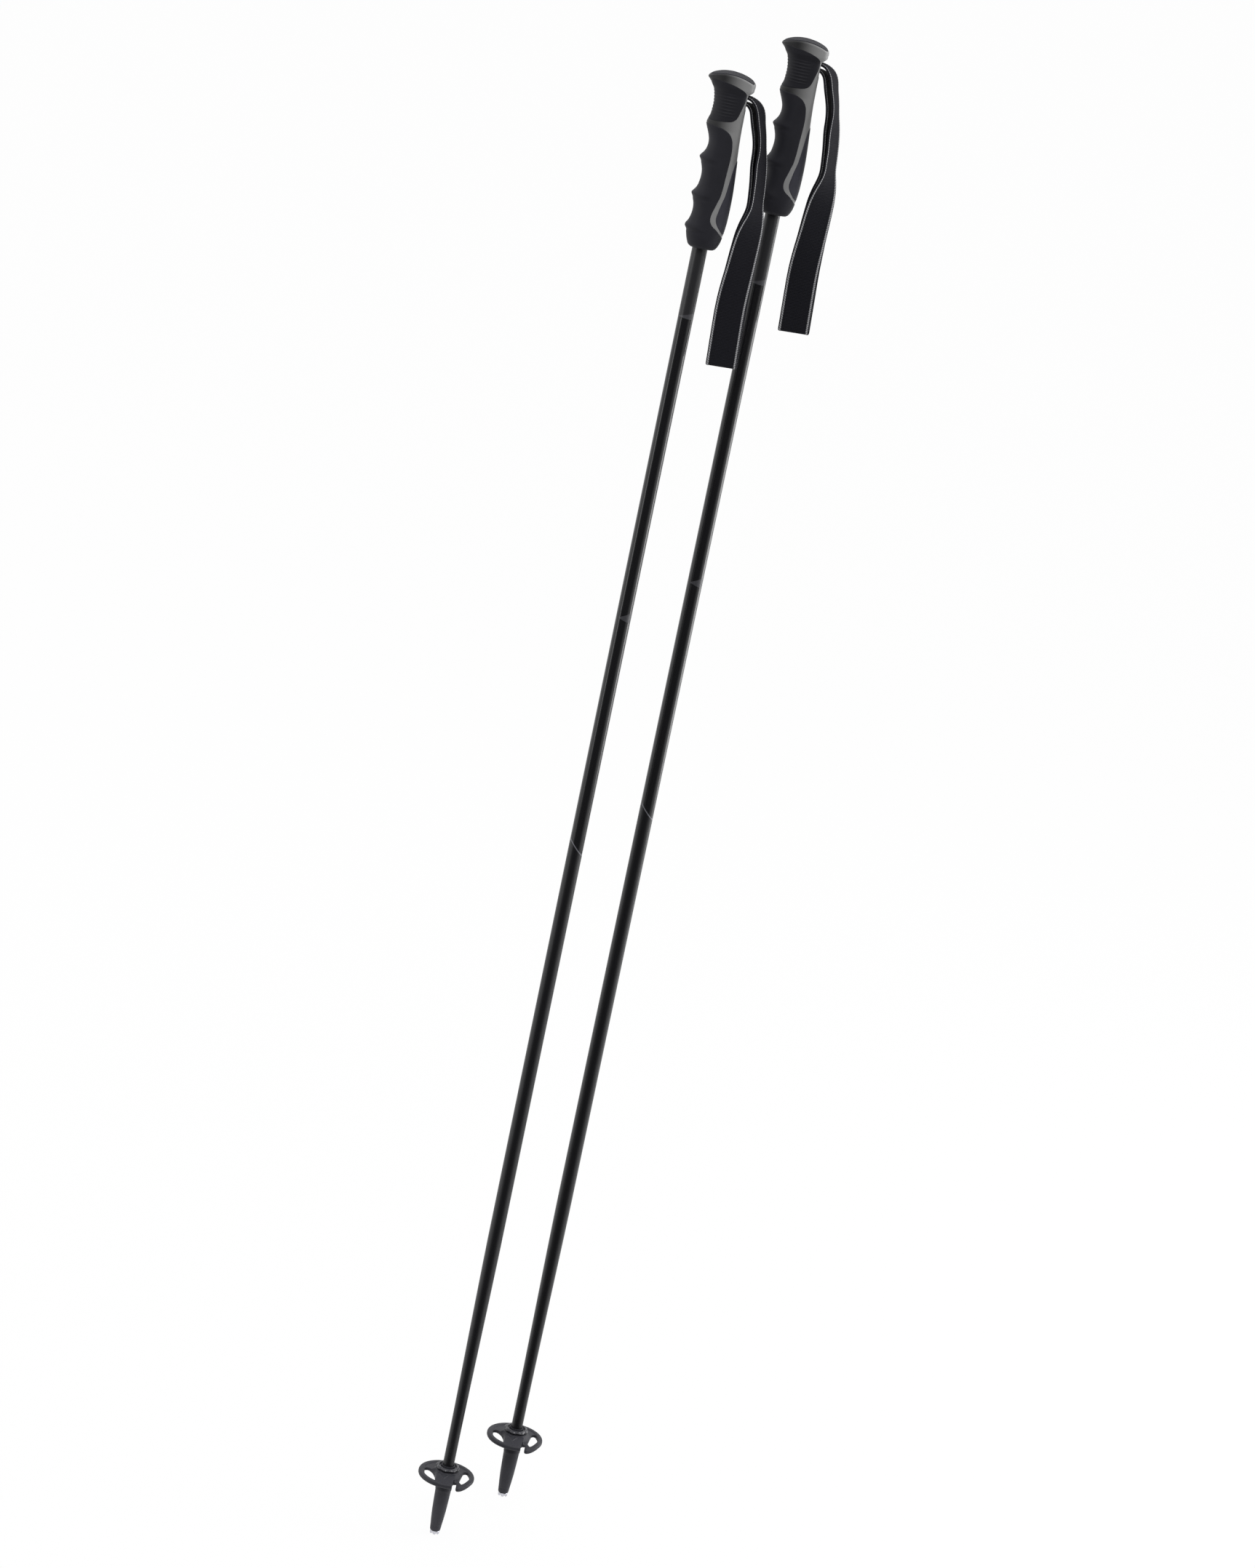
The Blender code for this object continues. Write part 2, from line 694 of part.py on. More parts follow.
def head_prism(name, margin):
    """The head's plan outline, drawn in by a margin and run straight up through the crown."""
    rings = [section(HEAD_FRONT_REACH - margin, HEAD_REAR_REACH - margin, HEAD_HALF_WIDTH - margin,
                     NECK_SQUARENESS, height)
             for height in (skirt_top, crown_top + CUT_OVERRUN)]
    return loft(name, rings)


def wedge_block(name, gap, top):
    """The lock's wedge, in front of the webbing's loop, or the pocket that it slides in."""
    rear = pin_x - loop_radius - SEAT_GAP
    half = WEDGE_WIDTH / 2
    bottom = pin_height - WEDGE_BELOW_PIN
    return block(name, (rear - WEDGE_LENGTH - gap, -half - gap, bottom - gap),
                 (rear + gap, half + gap, top))


def make_strap_lock():
    piece = head_prism('strap_lock', CAP_MARGIN + SEAT_GAP)
    combine(piece, crown_band('cap_band', CAP_PROUD - CAP_THICKNESS, CAP_PROUD), 'INTERSECT')
    return combine(piece, wedge_block('wedge', 0, crown_top - CAP_THICKNESS / 2), 'UNION')


def slot_outline():
    """The strap's notch: round behind the pin, opening like a fan towards the back."""
    up, down = STRAP_LIFT, -STRAP_DIP
    behind = arc((pin_x, pin_height), slot_radius, up + math.pi / 2, down + 3 * math.pi / 2)
    ends = [(far, edge[1] + (far - edge[0]) * math.tan(angle))
            for edge, angle in ((behind[-1], down), (behind[0], up))]
    return behind + ends


def pin_rod(name, gap=0.0):
    """The cross pin, or the hole that holds its ends."""
    reach = pin_half_length + gap
    return rod(name, PIN_DIAMETER / 2 + gap, (pin_x, -reach, pin_height), (pin_x, reach, pin_height),
               PIN_STEPS)


def make_grip():
    """The hard core and the three rubber pads, all cut from one outer form."""
    pads = {}
    recesses = []
    bore = rod('shaft_bore', SHAFT_DIAMETER / 2 + SEAT_GAP, (0, 0, -GRIP_SOCKET), (0, 0, GRIP_SOCKET),
               ROUND_STEPS)
    bed = grip_solid('pad_bed', BOOT_FLOOR, PAD_DEPTH)
    core_bed = grip_solid('core_bed', BOOT_FLOOR + SEAT_GAP, PAD_DEPTH + SEAT_GAP)
    for name, outline in pad_outlines().items():
        pad = grip_solid(name)
        combine(pad, slab(f'{name}_side', outline, HEAD_HALF_WIDTH + CUT_OVERRUN), 'INTERSECT')
        cut(pad, bed)
        pads[name] = pad
        recess = slab(f'{name}_recess', grown(outline, SEAT_GAP), HEAD_HALF_WIDTH + CUT_OVERRUN)
        recesses.append(cut(recess, core_bed))
    cut(pads['finger_pad'], bore)
    pin_hole = pin_rod('pin_hole', SEAT_GAP)
    cap_pocket = combine(head_prism('cap_pocket', CAP_MARGIN), crown_band(
        'pocket_band', CAP_PROUD - CAP_THICKNESS - SEAT_GAP, CUT_OVERRUN), 'INTERSECT')
    wedge_pocket = wedge_block('wedge_pocket', SEAT_GAP, crown_top)
    core = grip_solid('grip_core')
    cut(core, bore, crown_band('above_crown', 0, far), cap_pocket, wedge_pocket)
    cut(core, *recesses, slab('strap_slot', slot_outline(), slot_half_width), pin_hole)
    return {'grip_core': core, **pads}


def smooth_route(points, per_span=ROUTE_STEPS):
    """A Catmull-Rom curve through the route's points."""
    p = np.array(points)
    p = np.vstack((2 * p[0] - p[1], p, 2 * p[-1] - p[-2]))
    t = np.linspace(0, 1, per_span, endpoint=False)[:, None]
    spans = []
    for a, b, c, d in zip(p, p[1:], p[2:], p[3:]):
        spans.append(0.5 * (2 * b + (c - a) * t + (2 * a - 5 * b + 4 * c - d) * t ** 2
                            + (3 * b - a - 3 * c + d) * t ** 3))
    return np.vstack(spans + [p[-2:-1]])


def strap_loop():
    """Middle points, width directions and half widths round the whole loop of webbing."""
    route = smooth_route(STRAP_ROUTE)
    steps = np.linalg.norm(np.diff(route, axis=0), axis=1)
    along = np.concatenate(([0], np.cumsum(steps)))
    s = np.linspace(0, along[-1], STRAP_LEG_STEPS + 1)
    middle = np.stack((np.interp(s, along, route[:, 0]), 0 * s, np.interp(s, along, route[:, 1])), axis=1)
    tangent = np.gradient(middle, axis=0)
    tangent /= np.linalg.norm(tangent, axis=1)[:, None]
    out = np.stack((-tangent[:, 2], 0 * s, tangent[:, 0]), axis=1)
    side = np.array((0.0, 1.0, 0.0))
    turn = (STRAP_ROOT_TWIST * ease(s, *ROOT_TWISTING)
            + (STRAP_FULL_TWIST - STRAP_ROOT_TWIST) * ease(s, *FULL_TWISTING))[:, None]
    normal = out * np.cos(turn) - side * np.sin(turn)
    width = side * np.cos(turn) + out * np.sin(turn)
    root = PIN_DIAMETER / 2 + TURN_GAP + WEBBING_THICKNESS / 2
    laid = (WEBBING_LAY_GAP + WEBBING_THICKNESS) / 2
    spread = (root + (laid - root) * ease(s, *CLOSING))[:, None]
    stagger = (STRAP_STAGGER * ease(s, *STAGGERING))[:, None]
    half = (STRAP_ROOT_WIDTH + (STRAP_WIDTH - STRAP_ROOT_WIDTH) * ease(s, *WIDENING)) / 2
    outer = middle + spread * normal - stagger * width
    inner = middle - spread * normal + stagger * width
    turns = np.linspace(0, math.pi, STRAP_TURN_STEPS + 1)[1:-1, None]
    fold = (middle[-1] + spread[-1] * (np.cos(turns) * normal[-1] + np.sin(turns) * tangent[-1])
            - stagger[-1] * np.cos(turns) * width[-1])
    round_pin = middle[0] - spread[0] * (np.cos(turns) * normal[0] + np.sin(turns) * tangent[0])
    points = np.vstack((outer, fold, inner[::-1], round_pin))
    bend = len(turns)
    widths = np.vstack((width, np.repeat(width[-1:], bend, 0), width[::-1], np.repeat(width[:1], bend, 0)))
    halves = np.concatenate((half, np.repeat(half[-1], bend), half[::-1], np.repeat(half[0], bend)))
    return points, widths, halves


def make_strap():
    """A strip of webbing bent round its loop, joined end to end and given its thickness."""
    points, widths, halves = strap_loop()
    count = len(points)
    shape = bmesh.new()
    bmesh.ops.create_grid(shape, x_segments=count, y_segments=1, size=1)
    for vert in shape.verts:
        k = round((vert.co.x + 1) / 2 * count) % count
        vert.co = Vector(points[k] + widths[k] * halves[k] * vert.co.y)
    bmesh.ops.remove_doubles(shape, verts=shape.verts, dist=MERGE)
    bmesh.ops.recalc_face_normals(shape, faces=shape.faces)
    piece = add_object('strap', mesh_from_bmesh('strap', shape), workshop)
    thicken = piece.modifiers.new('webbing', 'SOLIDIFY')
    thicken.thickness = WEBBING_THICKNESS
    thicken.offset = 0
    return piece


def material(name, colour, roughness, metallic=0.0):
    made = bpy.data.materials.new(name)
    made.use_nodes = True
    shader = made.node_tree.nodes['Principled BSDF']
    shader.inputs['Base Color'].default_value = (*colour, 1)
    shader.inputs['Roughness'].default_value = roughness
    shader.inputs['Metallic'].default_value = metallic
    return made


def finishes():
    return {
        'shaft': material('satin_shaft', (0.045, 0.046, 0.050), 0.35, 0.6),
        'grip_core': material('grey_core', (0.19, 0.19, 0.19), 0.5),
        'thumb_pad': material('ribbed_rubber', (0.035, 0.035, 0.038), 0.75),
        'finger_pad': material('finger_rubber', (0.038, 0.038, 0.041), 0.75),
        'heel_pad': material('heel_rubber', (0.045, 0.045, 0.048), 0.75),
        'strap_lock': material('dark_cap', (0.055, 0.055, 0.058), 0.6),
        'strap_pin': material('pin_steel', (0.62, 0.62, 0.63), 0.3, 1.0),
        'strap': material('black_webbing', (0.018, 0.018, 0.022), 0.9),
        'ferrule': material('ferrule_plastic', (0.075, 0.075, 0.080), 0.6),
        'basket': material('basket_plastic', (0.060, 0.060, 0.064), 0.6),
        'basket_ring': material('collar_plastic', (0.065, 0.065, 0.070), 0.55),
        'tip': material('tip_steel', (0.70, 0.71, 0.73), 0.28, 1.0),
    }


def build_pair():
    masters = {'shaft': make_shaft(), **make_grip(), 'strap_lock': make_strap_lock(),
               'strap_pin': pin_rod('strap_pin'), 'strap': make_strap(), 'ferrule': make_ferrule(),
               'basket': make_basket(), 'basket_ring': make_collar(), 'tip': make_tip()}
    origins = {name: Vector((0, 0, grip_z)) for name in GRIP_PIECES}
    origins['strap'] = Vector((pin_x, 0, grip_z + pin_height))
    origins['basket'] = Vector((0, 0, hub_bottom_z))
    looks = finishes()
    meshes = {}
    for name, master in masters.items():
        mesh = evaluated_mesh(master)
        mesh.name = name
        mesh.materials.clear()
        mesh.materials.append(looks[name])
        mesh.shade_smooth()
        mesh.set_sharp_from_angle(angle=SHARP_ANGLE)
        meshes[name] = mesh
    for thing in list(workshop.objects):
        bpy.data.objects.remove(thing, do_unlink=True)
    bpy.data.collections.remove(workshop)

    basket_r = BASKET_DIAMETER / 2
    strap_reach = pin_x + max(vert.co.x for vert in meshes['strap'].vertices)
    middle = Vector(((PAIR_ASIDE + max(strap_reach, basket_r) - basket_r) / 2, PAIR_BEHIND / 2, 0))
    places = {'left': -middle, 'right': Vector((PAIR_ASIDE, PAIR_BEHIND, PAIR_RISE)) - middle}
    for side, place in places.items():
        pole = add_object(f'{side}_pole', None, poles)
        pole.location = place
        for name, mesh in meshes.items():
            piece = add_object(f'{side}_{name}', mesh, poles)
            piece.parent = pole
            piece.location = origins.get(name, Vector())
        pin = place + origins['strap']
        print(f'{side} pole foot', [round(v, 6) for v in place])
        print(f'{side} strap pin', [round(v, 6) for v in pin])


clear_scene()
poles = collection('snow_poles')
workshop = collection('cutters')
build_pair()
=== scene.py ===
import math

import bmesh
import bpy
import numpy as np
from mathutils import Matrix, Vector


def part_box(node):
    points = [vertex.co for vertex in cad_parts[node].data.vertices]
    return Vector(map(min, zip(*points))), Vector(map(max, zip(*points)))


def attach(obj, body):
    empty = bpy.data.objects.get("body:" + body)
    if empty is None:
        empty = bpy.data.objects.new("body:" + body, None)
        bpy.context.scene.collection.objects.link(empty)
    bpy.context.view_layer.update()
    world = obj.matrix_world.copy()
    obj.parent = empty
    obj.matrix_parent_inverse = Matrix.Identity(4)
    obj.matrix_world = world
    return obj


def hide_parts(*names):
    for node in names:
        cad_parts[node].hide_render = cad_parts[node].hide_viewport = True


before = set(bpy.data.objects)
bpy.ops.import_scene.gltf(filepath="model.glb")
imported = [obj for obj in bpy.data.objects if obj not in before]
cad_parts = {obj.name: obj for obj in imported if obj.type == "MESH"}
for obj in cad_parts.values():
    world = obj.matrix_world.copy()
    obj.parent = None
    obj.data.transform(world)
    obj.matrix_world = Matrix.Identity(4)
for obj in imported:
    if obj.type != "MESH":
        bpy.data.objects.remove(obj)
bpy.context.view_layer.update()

# Lengths are millimetres in a pole's own space: tip end at zero, shaft up Z, finger side towards -X.
# Feet, grip and pin are looked up in the frame, so the looks follow it.
mm = 0.001
sides = ("left", "right")
foot = {}
for side in sides:
    low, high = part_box(f"{side}_tip")
    foot[side] = Vector(((low.x + high.x) / 2, (low.y + high.y) / 2, low.z))
gripBase = (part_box("left_finger_pad")[0].z - foot["left"].z) / mm
low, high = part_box("left_strap_pin")
pinX = ((low.x + high.x) / 2 - foot["left"].x) / mm
pinZ = ((low.z + high.z) / 2 - foot["left"].z) / mm


def ease(value, start, end):
    # smooth step: 3t^2 - 2t^3 of the share of the way from start to end
    t = np.clip((value - start) / (end - start), 0, 1)
    return t * t * (3 - 2 * t)


def fullTurn(steps):
    return np.linspace(0, 2 * math.pi, steps, endpoint=False)


def wayAlong(points):
    # length of the line so far at each of its points
    return np.concatenate(([0], np.cumsum(np.linalg.norm(np.diff(points, axis=0), axis=1))))


def gridFaces(rows, cols, roundCols=False, roundRows=False):
    # four-sided faces between neighbouring rows and columns, joined round where asked
    r, c = np.meshgrid(np.arange(rows if roundRows else rows - 1),
                       np.arange(cols if roundCols else cols - 1), indexing="ij")
    r2, c2 = (r + 1) % rows, (c + 1) % cols
    return np.stack((r * cols + c, r * cols + c2, r2 * cols + c2, r2 * cols + c), axis=-1).reshape(-1, 4)


def makeMesh(name, points, quads, merge=False):
    mesh = bpy.data.meshes.new(name)
    mesh.vertices.add(len(points))
    mesh.vertices.foreach_set("co", np.ascontiguousarray(points * mm, dtype=np.float32).ravel())
    mesh.loops.add(quads.size)
    mesh.loops.foreach_set("vertex_index", quads.astype(np.int32).ravel())
    mesh.polygons.add(len(quads))
    mesh.polygons.foreach_set("loop_start", np.arange(0, quads.size, 4, dtype=np.int32))
    mesh.update(calc_edges=True)
    if merge:  # poles and seams close up
        shape = bmesh.new()
        shape.from_mesh(mesh)
        bmesh.ops.remove_doubles(shape, verts=shape.verts, dist=1e-6)
        shape.to_mesh(mesh)
        shape.free()
    return mesh


def pointsOf(mesh):
    place = np.empty(len(mesh.vertices) * 3, np.float32)
    mesh.vertices.foreach_get("co", place)
    return place / mm


def revolve(name, outline, steps):
    # a closed outline of (radius, height), listed up its outer side, turned round Z
    r, z = np.array(outline, float).T
    a = fullTurn(steps)
    rings = (np.outer(r, np.cos(a)), np.outer(r, np.sin(a)), np.outer(z, np.ones(steps)))
    points = np.stack(rings, axis=-1)
    return makeMesh(name, points.reshape(-1, 3), gridFaces(len(r), steps, True, True), merge=True)


def prism(name, outline, half, upright=True):
    # an outline run along Y (upright, as x and z) or along Z (flat, as x and y), capped at both ends
    flat = np.array(outline, float)
    n = len(flat)
    ends = [np.insert(flat, 1 if upright else 2, reach, axis=1) for reach in (-half, half)]
    faces = [tuple(range(n)), tuple(range(2 * n - 1, n - 1, -1))]
    faces += [(i, i + n, (i + 1) % n + n, (i + 1) % n) for i in range(n)]
    mesh = bpy.data.meshes.new(name)
    mesh.from_pydata((np.vstack(ends) * mm).tolist(), [], faces)
    shape = bmesh.new()
    shape.from_mesh(mesh)
    bmesh.ops.recalc_face_normals(shape, faces=shape.faces)
    shape.to_mesh(mesh)
    shape.free()
    return mesh


def shaped(mesh, changes):
    # modifiers worked out once on a passing object, leaving a plain mesh
    body = bpy.data.objects.new("passing", mesh)
    bpy.context.collection.objects.link(body)
    helpers = []
    for kind, settings in changes:
        step = body.modifiers.new(kind.lower(), kind)
        for key, value in settings.items():
            if isinstance(value, bpy.types.Mesh):
                value = bpy.data.objects.new(value.name, value)
                bpy.context.collection.objects.link(value)
                helpers.append(value)
            setattr(step, key, value)
    bpy.context.view_layer.update()
    result = bpy.data.meshes.new_from_object(body.evaluated_get(bpy.context.evaluated_depsgraph_get()))
    for passing in [body, *helpers]:
        bpy.data.objects.remove(passing)
    return result


def cutAway(mesh):
    return "BOOLEAN", {"operation": "DIFFERENCE", "solver": "EXACT", "object": mesh}


def joinOn(mesh):
    return "BOOLEAN", {"operation": "UNION", "solver": "EXACT", "object": mesh}


def placeOnPoles(word, master, body, look, nodes, crease=38):
    # one mesh in the pole's own space becomes a piece on each pole; poleSpace keeps the millimetres
    note = master.attributes.new("poleSpace", "FLOAT_VECTOR", "POINT")
    note.data.foreach_set("vector", pointsOf(master))
    master.materials.clear()
    master.materials.append(look)
    master.shade_smooth()
    master.set_sharp_from_angle(angle=math.radians(crease))
    made = {}
    for side in sides:
        mesh = master.copy()
        mesh.transform(Matrix.Translation(foot[side]))
        piece = bpy.data.objects.new(side + word, mesh)
        bpy.context.collection.objects.link(piece)
        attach(piece, f"{side}_{body}")
        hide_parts(*[f"{side}_{node}" for node in nodes])
        made[side] = piece
    print(word, len(master.polygons), "faces")
    return made


def fill(tree, node, inputs):
    # an input that is given a socket is linked to it, any other takes the value as its own
    for key, value in inputs.items():
        if isinstance(value, bpy.types.NodeSocket):
            tree.links.new(value, node.inputs[key])
        else:
            node.inputs[key].default_value = value


def addNode(tree, kind, inputs=None, **settings):
    node = tree.nodes.new(kind)
    for key, value in settings.items():
        setattr(node, key, value)
    fill(tree, node, inputs or {})
    return node


def maths(tree, operation, *values, clamp=False):
    node = addNode(tree, "ShaderNodeMath", dict(enumerate(values)), operation=operation, use_clamp=clamp)
    return node.outputs[0]


def toneMix(tree, share, low, high, blend="MIX"):
    mix = addNode(tree, "ShaderNodeMix", {0: share, 6: low, 7: high}, data_type="RGBA", blend_type=blend)
    return mix.outputs[2]


def bumpOf(tree, height, strength, depth):
    bump = addNode(tree, "ShaderNodeBump", {"Height": height, "Strength": strength, "Distance": depth})
    return bump.outputs["Normal"]


def smoothRange(tree, value, span):
    # 0 to 1 over the span, as a smooth step
    node = addNode(tree, "ShaderNodeMapRange", {"Value": value, "From Min": span[0], "From Max": span[1]},
                   interpolation_type="SMOOTHSTEP")
    return node.outputs["Result"]


def rgb(level, blue=0.0):
    return (level, level, level * (1 + blue), 1)


def startGroup(name, inputs, outputs):
    group = bpy.data.node_groups.new(name, "ShaderNodeTree")
    for word, kind, value in inputs:
        socket = group.interface.new_socket(word, in_out="INPUT", socket_type=kind)
        if value is not None:
            socket.default_value = value
    for word in outputs:
        group.interface.new_socket(word, in_out="OUTPUT", socket_type="NodeSocketFloat")
    return group, group.nodes.new("NodeGroupInput").outputs, group.nodes.new("NodeGroupOutput").inputs


def fillGroup(tree, group, inputs):
    return addNode(tree, "ShaderNodeGroup", inputs, node_tree=group).outputs


# mouldedGrain: fine noise for the surface's height and a broad one for faint uneven tone
grainGroup, gIn, gOut = startGroup("mouldedGrain", [
    ("Place", "NodeSocketVector", None), ("Fineness", "NodeSocketFloat", 4.0),
    ("Patches", "NodeSocketFloat", 0.12),
], ("Height", "Mottle"))
for scale, detail, result in (("Fineness", 2.0, "Height"), ("Patches", 3.0, "Mottle")):
    noise = {"Vector": gIn["Place"], "Scale": gIn[scale], "Detail": detail}
    grainGroup.links.new(addNode(grainGroup, "ShaderNodeTexNoise", noise).outputs["Fac"], gOut[result])

# slantedEdge: 1 above a sloping line on the pole seen from its side, 0 below it
edgeGroup, eIn, eOut = startGroup("slantedEdge", [
    ("Place", "NodeSocketVector", None), ("Level", "NodeSocketFloat", 0.0),
    ("Slope", "NodeSocketFloat", 0.0), ("Soft", "NodeSocketFloat", 0.15),
], ("Above",))
axes = addNode(edgeGroup, "ShaderNodeSeparateXYZ", {"Vector": eIn["Place"]})
line = maths(edgeGroup, "MULTIPLY_ADD", axes.outputs["X"], eIn["Slope"], eIn["Level"])
share = maths(edgeGroup, "DIVIDE", maths(edgeGroup, "SUBTRACT", axes.outputs["Z"], line), eIn["Soft"])
edgeGroup.links.new(maths(edgeGroup, "ADD", share, 0.5, clamp=True), eOut["Above"])


def newLook(name, attribute="poleSpace"):
    look = bpy.data.materials.new(name)
    look.use_nodes = True
    tree = look.node_tree
    place = addNode(tree, "ShaderNodeAttribute", attribute_name=attribute).outputs["Vector"]
    return look, tree, tree.nodes["Principled BSDF"], place


grainDepth = 0.0002  # metres, at full bump


def grainedLook(name, user):
    # a moulded surface: two close tones in faint patches and a fine grain
    look, tree, shader, place = newLook(name)
    scales = {"Fineness": user["fineness"], "Patches": user["patches"]}
    grain = fillGroup(tree, grainGroup, {"Place": place, **scales})
    dark, light = (rgb(user[key], user["blue"]) for key in ("dark", "light"))
    fill(tree, shader, {"Base Color": toneMix(tree, grain["Mottle"], dark, light),
                        "Roughness": user["rough"], "Specular IOR Level": user["shine"],
                        "Normal": bumpOf(tree, grain["Height"], user["bump"], grainDepth)})
    return look, tree, shader, place


shaft = {
    "radius": 6.3, "footRadius": 4.9, "wall": 1.1, "taper": (96, 280), "taperRows": 14, "bottom": 22.6,
    "top": gripBase + 99.7, "steps": 72,
    # slanted trim lines, as (level on the axis, rise per millimetre towards the back)
    "satinEnd": (1103.0, 0.30), "firstTrimEnd": (1100.0, -0.12),
    "secondTrim": (847.7, 0.50), "secondTrimEnd": (843.9, -0.35),
    "thinLine": (644.4, -1.06), "thinLineEnd": (643.2, -1.06),
    "satinTone": 0.020, "glossTone": 0.010, "matteTone": 0.006, "blue": 0.12, "matteBlue": 0.25,
    "trimTone": 0.06, "secondTrimTone": 0.05, "lineTone": 0.16,
    "satinRough": 0.36, "glossRough": 0.16, "matteRough": 0.36,
}


def shaftLook():
    look, tree, shader, place = newLook("shaftFinish")

    def above(key):
        level, slope = shaft[key]
        return fillGroup(tree, edgeGroup, {"Place": place, "Level": level, "Slope": slope})["Above"]

    steps = [("thinLineEnd", "lineTone", "matteRough"), ("thinLine", "glossTone", "glossRough"),
             ("secondTrimEnd", "secondTrimTone", "satinRough"), ("secondTrim", "glossTone", "glossRough"),
             ("firstTrimEnd", "trimTone", "satinRough"), ("satinEnd", "satinTone", "satinRough")]
    tone, rough = rgb(shaft["matteTone"], shaft["matteBlue"]), shaft["matteRough"]
    for edge, nextTone, nextRough in steps:  # from the foot upwards, each edge lays the next finish over
        share = above(edge)
        tone = toneMix(tree, share, tone, rgb(shaft[nextTone], shaft["blue"]))
        mix = addNode(tree, "ShaderNodeMix", {0: share, 2: rough, 3: shaft[nextRough]}, data_type="FLOAT")
        rough = mix.outputs[0]
    fill(tree, shader, {"Base Color": tone, "Roughness": rough})
    return look


t = np.linspace(0, 1, shaft["taperRows"])
taperZ = shaft["taper"][0] + (shaft["taper"][1] - shaft["taper"][0]) * t
# the taper is halfway between a straight cone and a smooth step
taperR = shaft["footRadius"] + (shaft["radius"] - shaft["footRadius"]) * (t + ease(t, 0, 1)) / 2
outside = [(shaft["footRadius"], shaft["bottom"]), *zip(taperR, taperZ), (shaft["radius"], shaft["top"])]
inside = [(r - shaft["wall"], z) for r, z in reversed(outside)]
shaftMesh = revolve("shaft", outside + inside, shaft["steps"])
placeOnPoles("Shaft", shaftMesh, "pole", shaftLook(), ["shaft"])


# The grip's form is shared by the core, the pads and the cap; its heights start at the grip's lower edge.
grip = {
    # (height, reach) of the front and back outlines
    "front": [(-3, 7.2), (0, 8.5), (1, 9.8), (2, 10.7), (3.5, 11.4), (6, 12.4), (10, 13.5), (13.5, 14.4),
              (15.5, 15.1), (16.8, 15.1), (18, 14.7), (20, 13.7), (23, 12.9), (26, 12.35), (29, 12.1),
              (32, 12.2), (35, 12.7), (38, 13.8), (40.5, 14.7), (42.3, 15.1), (43.2, 14.9), (44.5, 14),
              (46.5, 12.8), (49, 11.9), (52, 11.35), (56, 10.9), (60, 11), (63, 11.5), (66, 12.4),
              (69, 13.6), (71, 14.3), (72.4, 14.5), (73.6, 13.9), (75.5, 12.6), (78, 11.4), (81, 10.65),
              (84, 10.4), (87, 10.65), (90, 11.5), (93, 12.65), (96, 14), (98.5, 15), (100.5, 15.5),
              (102, 15.3), (103.3, 14.6), (106, 13.6), (109, 13.05), (113, 12.75), (117, 12.75),
              (121, 13.2), (125, 14), (128, 15.1), (130.5, 16.8), (133, 18.3), (135, 19.7), (136.4, 20.8),
              (137.3, 21.2), (139, 21.2)],
    "back": [(-3, 9.5), (0, 10.8), (1, 12.1), (3, 13.4), (5.5, 14.5), (8, 15.2), (12, 15.9), (18, 16.6),
             (24, 17.1), (34, 17.35), (46, 17.2), (56, 16.65), (68, 15.8), (80, 14.9), (92, 14.2),
             (104, 13.9), (118, 13.8), (139, 13.8)],
    "table": (-2, 138, 0.1),  # heights that are worked out: from, to and step
    "ridges": (16.1, 42.9, 72.6, 101.2), "sideCorner": 3.2, "neck": 13.8,
    "headFront": 21.2, "headRear": 17.7, "lip": 137.3, "rearFall": 1.4, "crownRise": 4.8,
    "skirt": (126.2, 131.7),
    "footWidth": 10.8, "palmWidth": 14.4, "neckWidth": 15.0, "headWidth": 16.5, "swell": 0.6,
    "frontSquare": 2.3, "palmSquare": 2.5, "neckSquare": 5.0,
}


def smoothChain(points, step, pieces=10):
    # Catmull-Rom curve through the outline's points, then even steps along its length
    p = np.array(points, float)
    p = np.vstack((2 * p[0] - p[1], p, 2 * p[-1] - p[-2]))
    t = np.linspace(0, 1, pieces, endpoint=False)[:, None]
    spans = [0.5 * (2 * b + (c - a) * t + (2 * a - 5 * b + 4 * c - d) * t ** 2
                    + (3 * b - a - 3 * c + d) * t ** 3)
             for a, b, c, d in zip(p, p[1:], p[2:], p[3:])]
    curve = np.vstack(spans + [p[-2:-1]])
    along = wayAlong(curve)
    even = np.linspace(0, along[-1], int(along[-1] / step) + 2)
    return np.stack((np.interp(even, along, curve[:, 0]), np.interp(even, along, curve[:, 1])), axis=-1)


def gripTable():
    # reaches are read off the two smoothed outlines; half widths swell by a power of a sine from the foot,
    # are eased from palm to neck to head, and round off by a quarter circle at the foot's corner
    g = grip
    h = np.arange(*g["table"])
    front, rear = (np.interp(h, *smoothChain(g[key], g["table"][2]).T) for key in ("front", "back"))
    head = ease(h, *g["skirt"])
    rear += (g["headRear"] - g["neck"]) * head
    neckLow, neckTop = g["ridges"][2:]
    swell = np.sin(math.pi / 2 * np.clip(h / g["ridges"][0], 0, 1)) ** g["swell"]
    width = g["footWidth"] + (g["palmWidth"] - g["footWidth"]) * swell
    width += (g["neckWidth"] - g["palmWidth"]) * ease(h, neckLow, neckTop)
    width += (g["headWidth"] - g["neckWidth"]) * head
    near = np.clip(g["sideCorner"] - h, 0, g["sideCorner"])
    width -= g["sideCorner"] - np.sqrt(g["sideCorner"] ** 2 - near ** 2)
    square = g["palmSquare"] + (g["neckSquare"] - g["palmSquare"]) * ease(h, neckLow, neckTop)
    return h, front, rear, width, square


gripRows = gripTable()


def gripAt(h):
    return [np.interp(h, gripRows[0], row) for row in gripRows[1:]]


def oval(phi, front, rear, width, square):
    # superellipse: powers of cosine and sine times the reach, rounder in front than behind
    c, s = np.cos(phi), np.sin(phi)
    power = np.where(c >= 0, 2 / square, 2 / grip["frontSquare"])
    x = np.sign(c) * np.abs(c) ** power * np.where(c >= 0, rear, front)
    y = np.sign(s) * np.abs(s) ** power * width
    return x, y


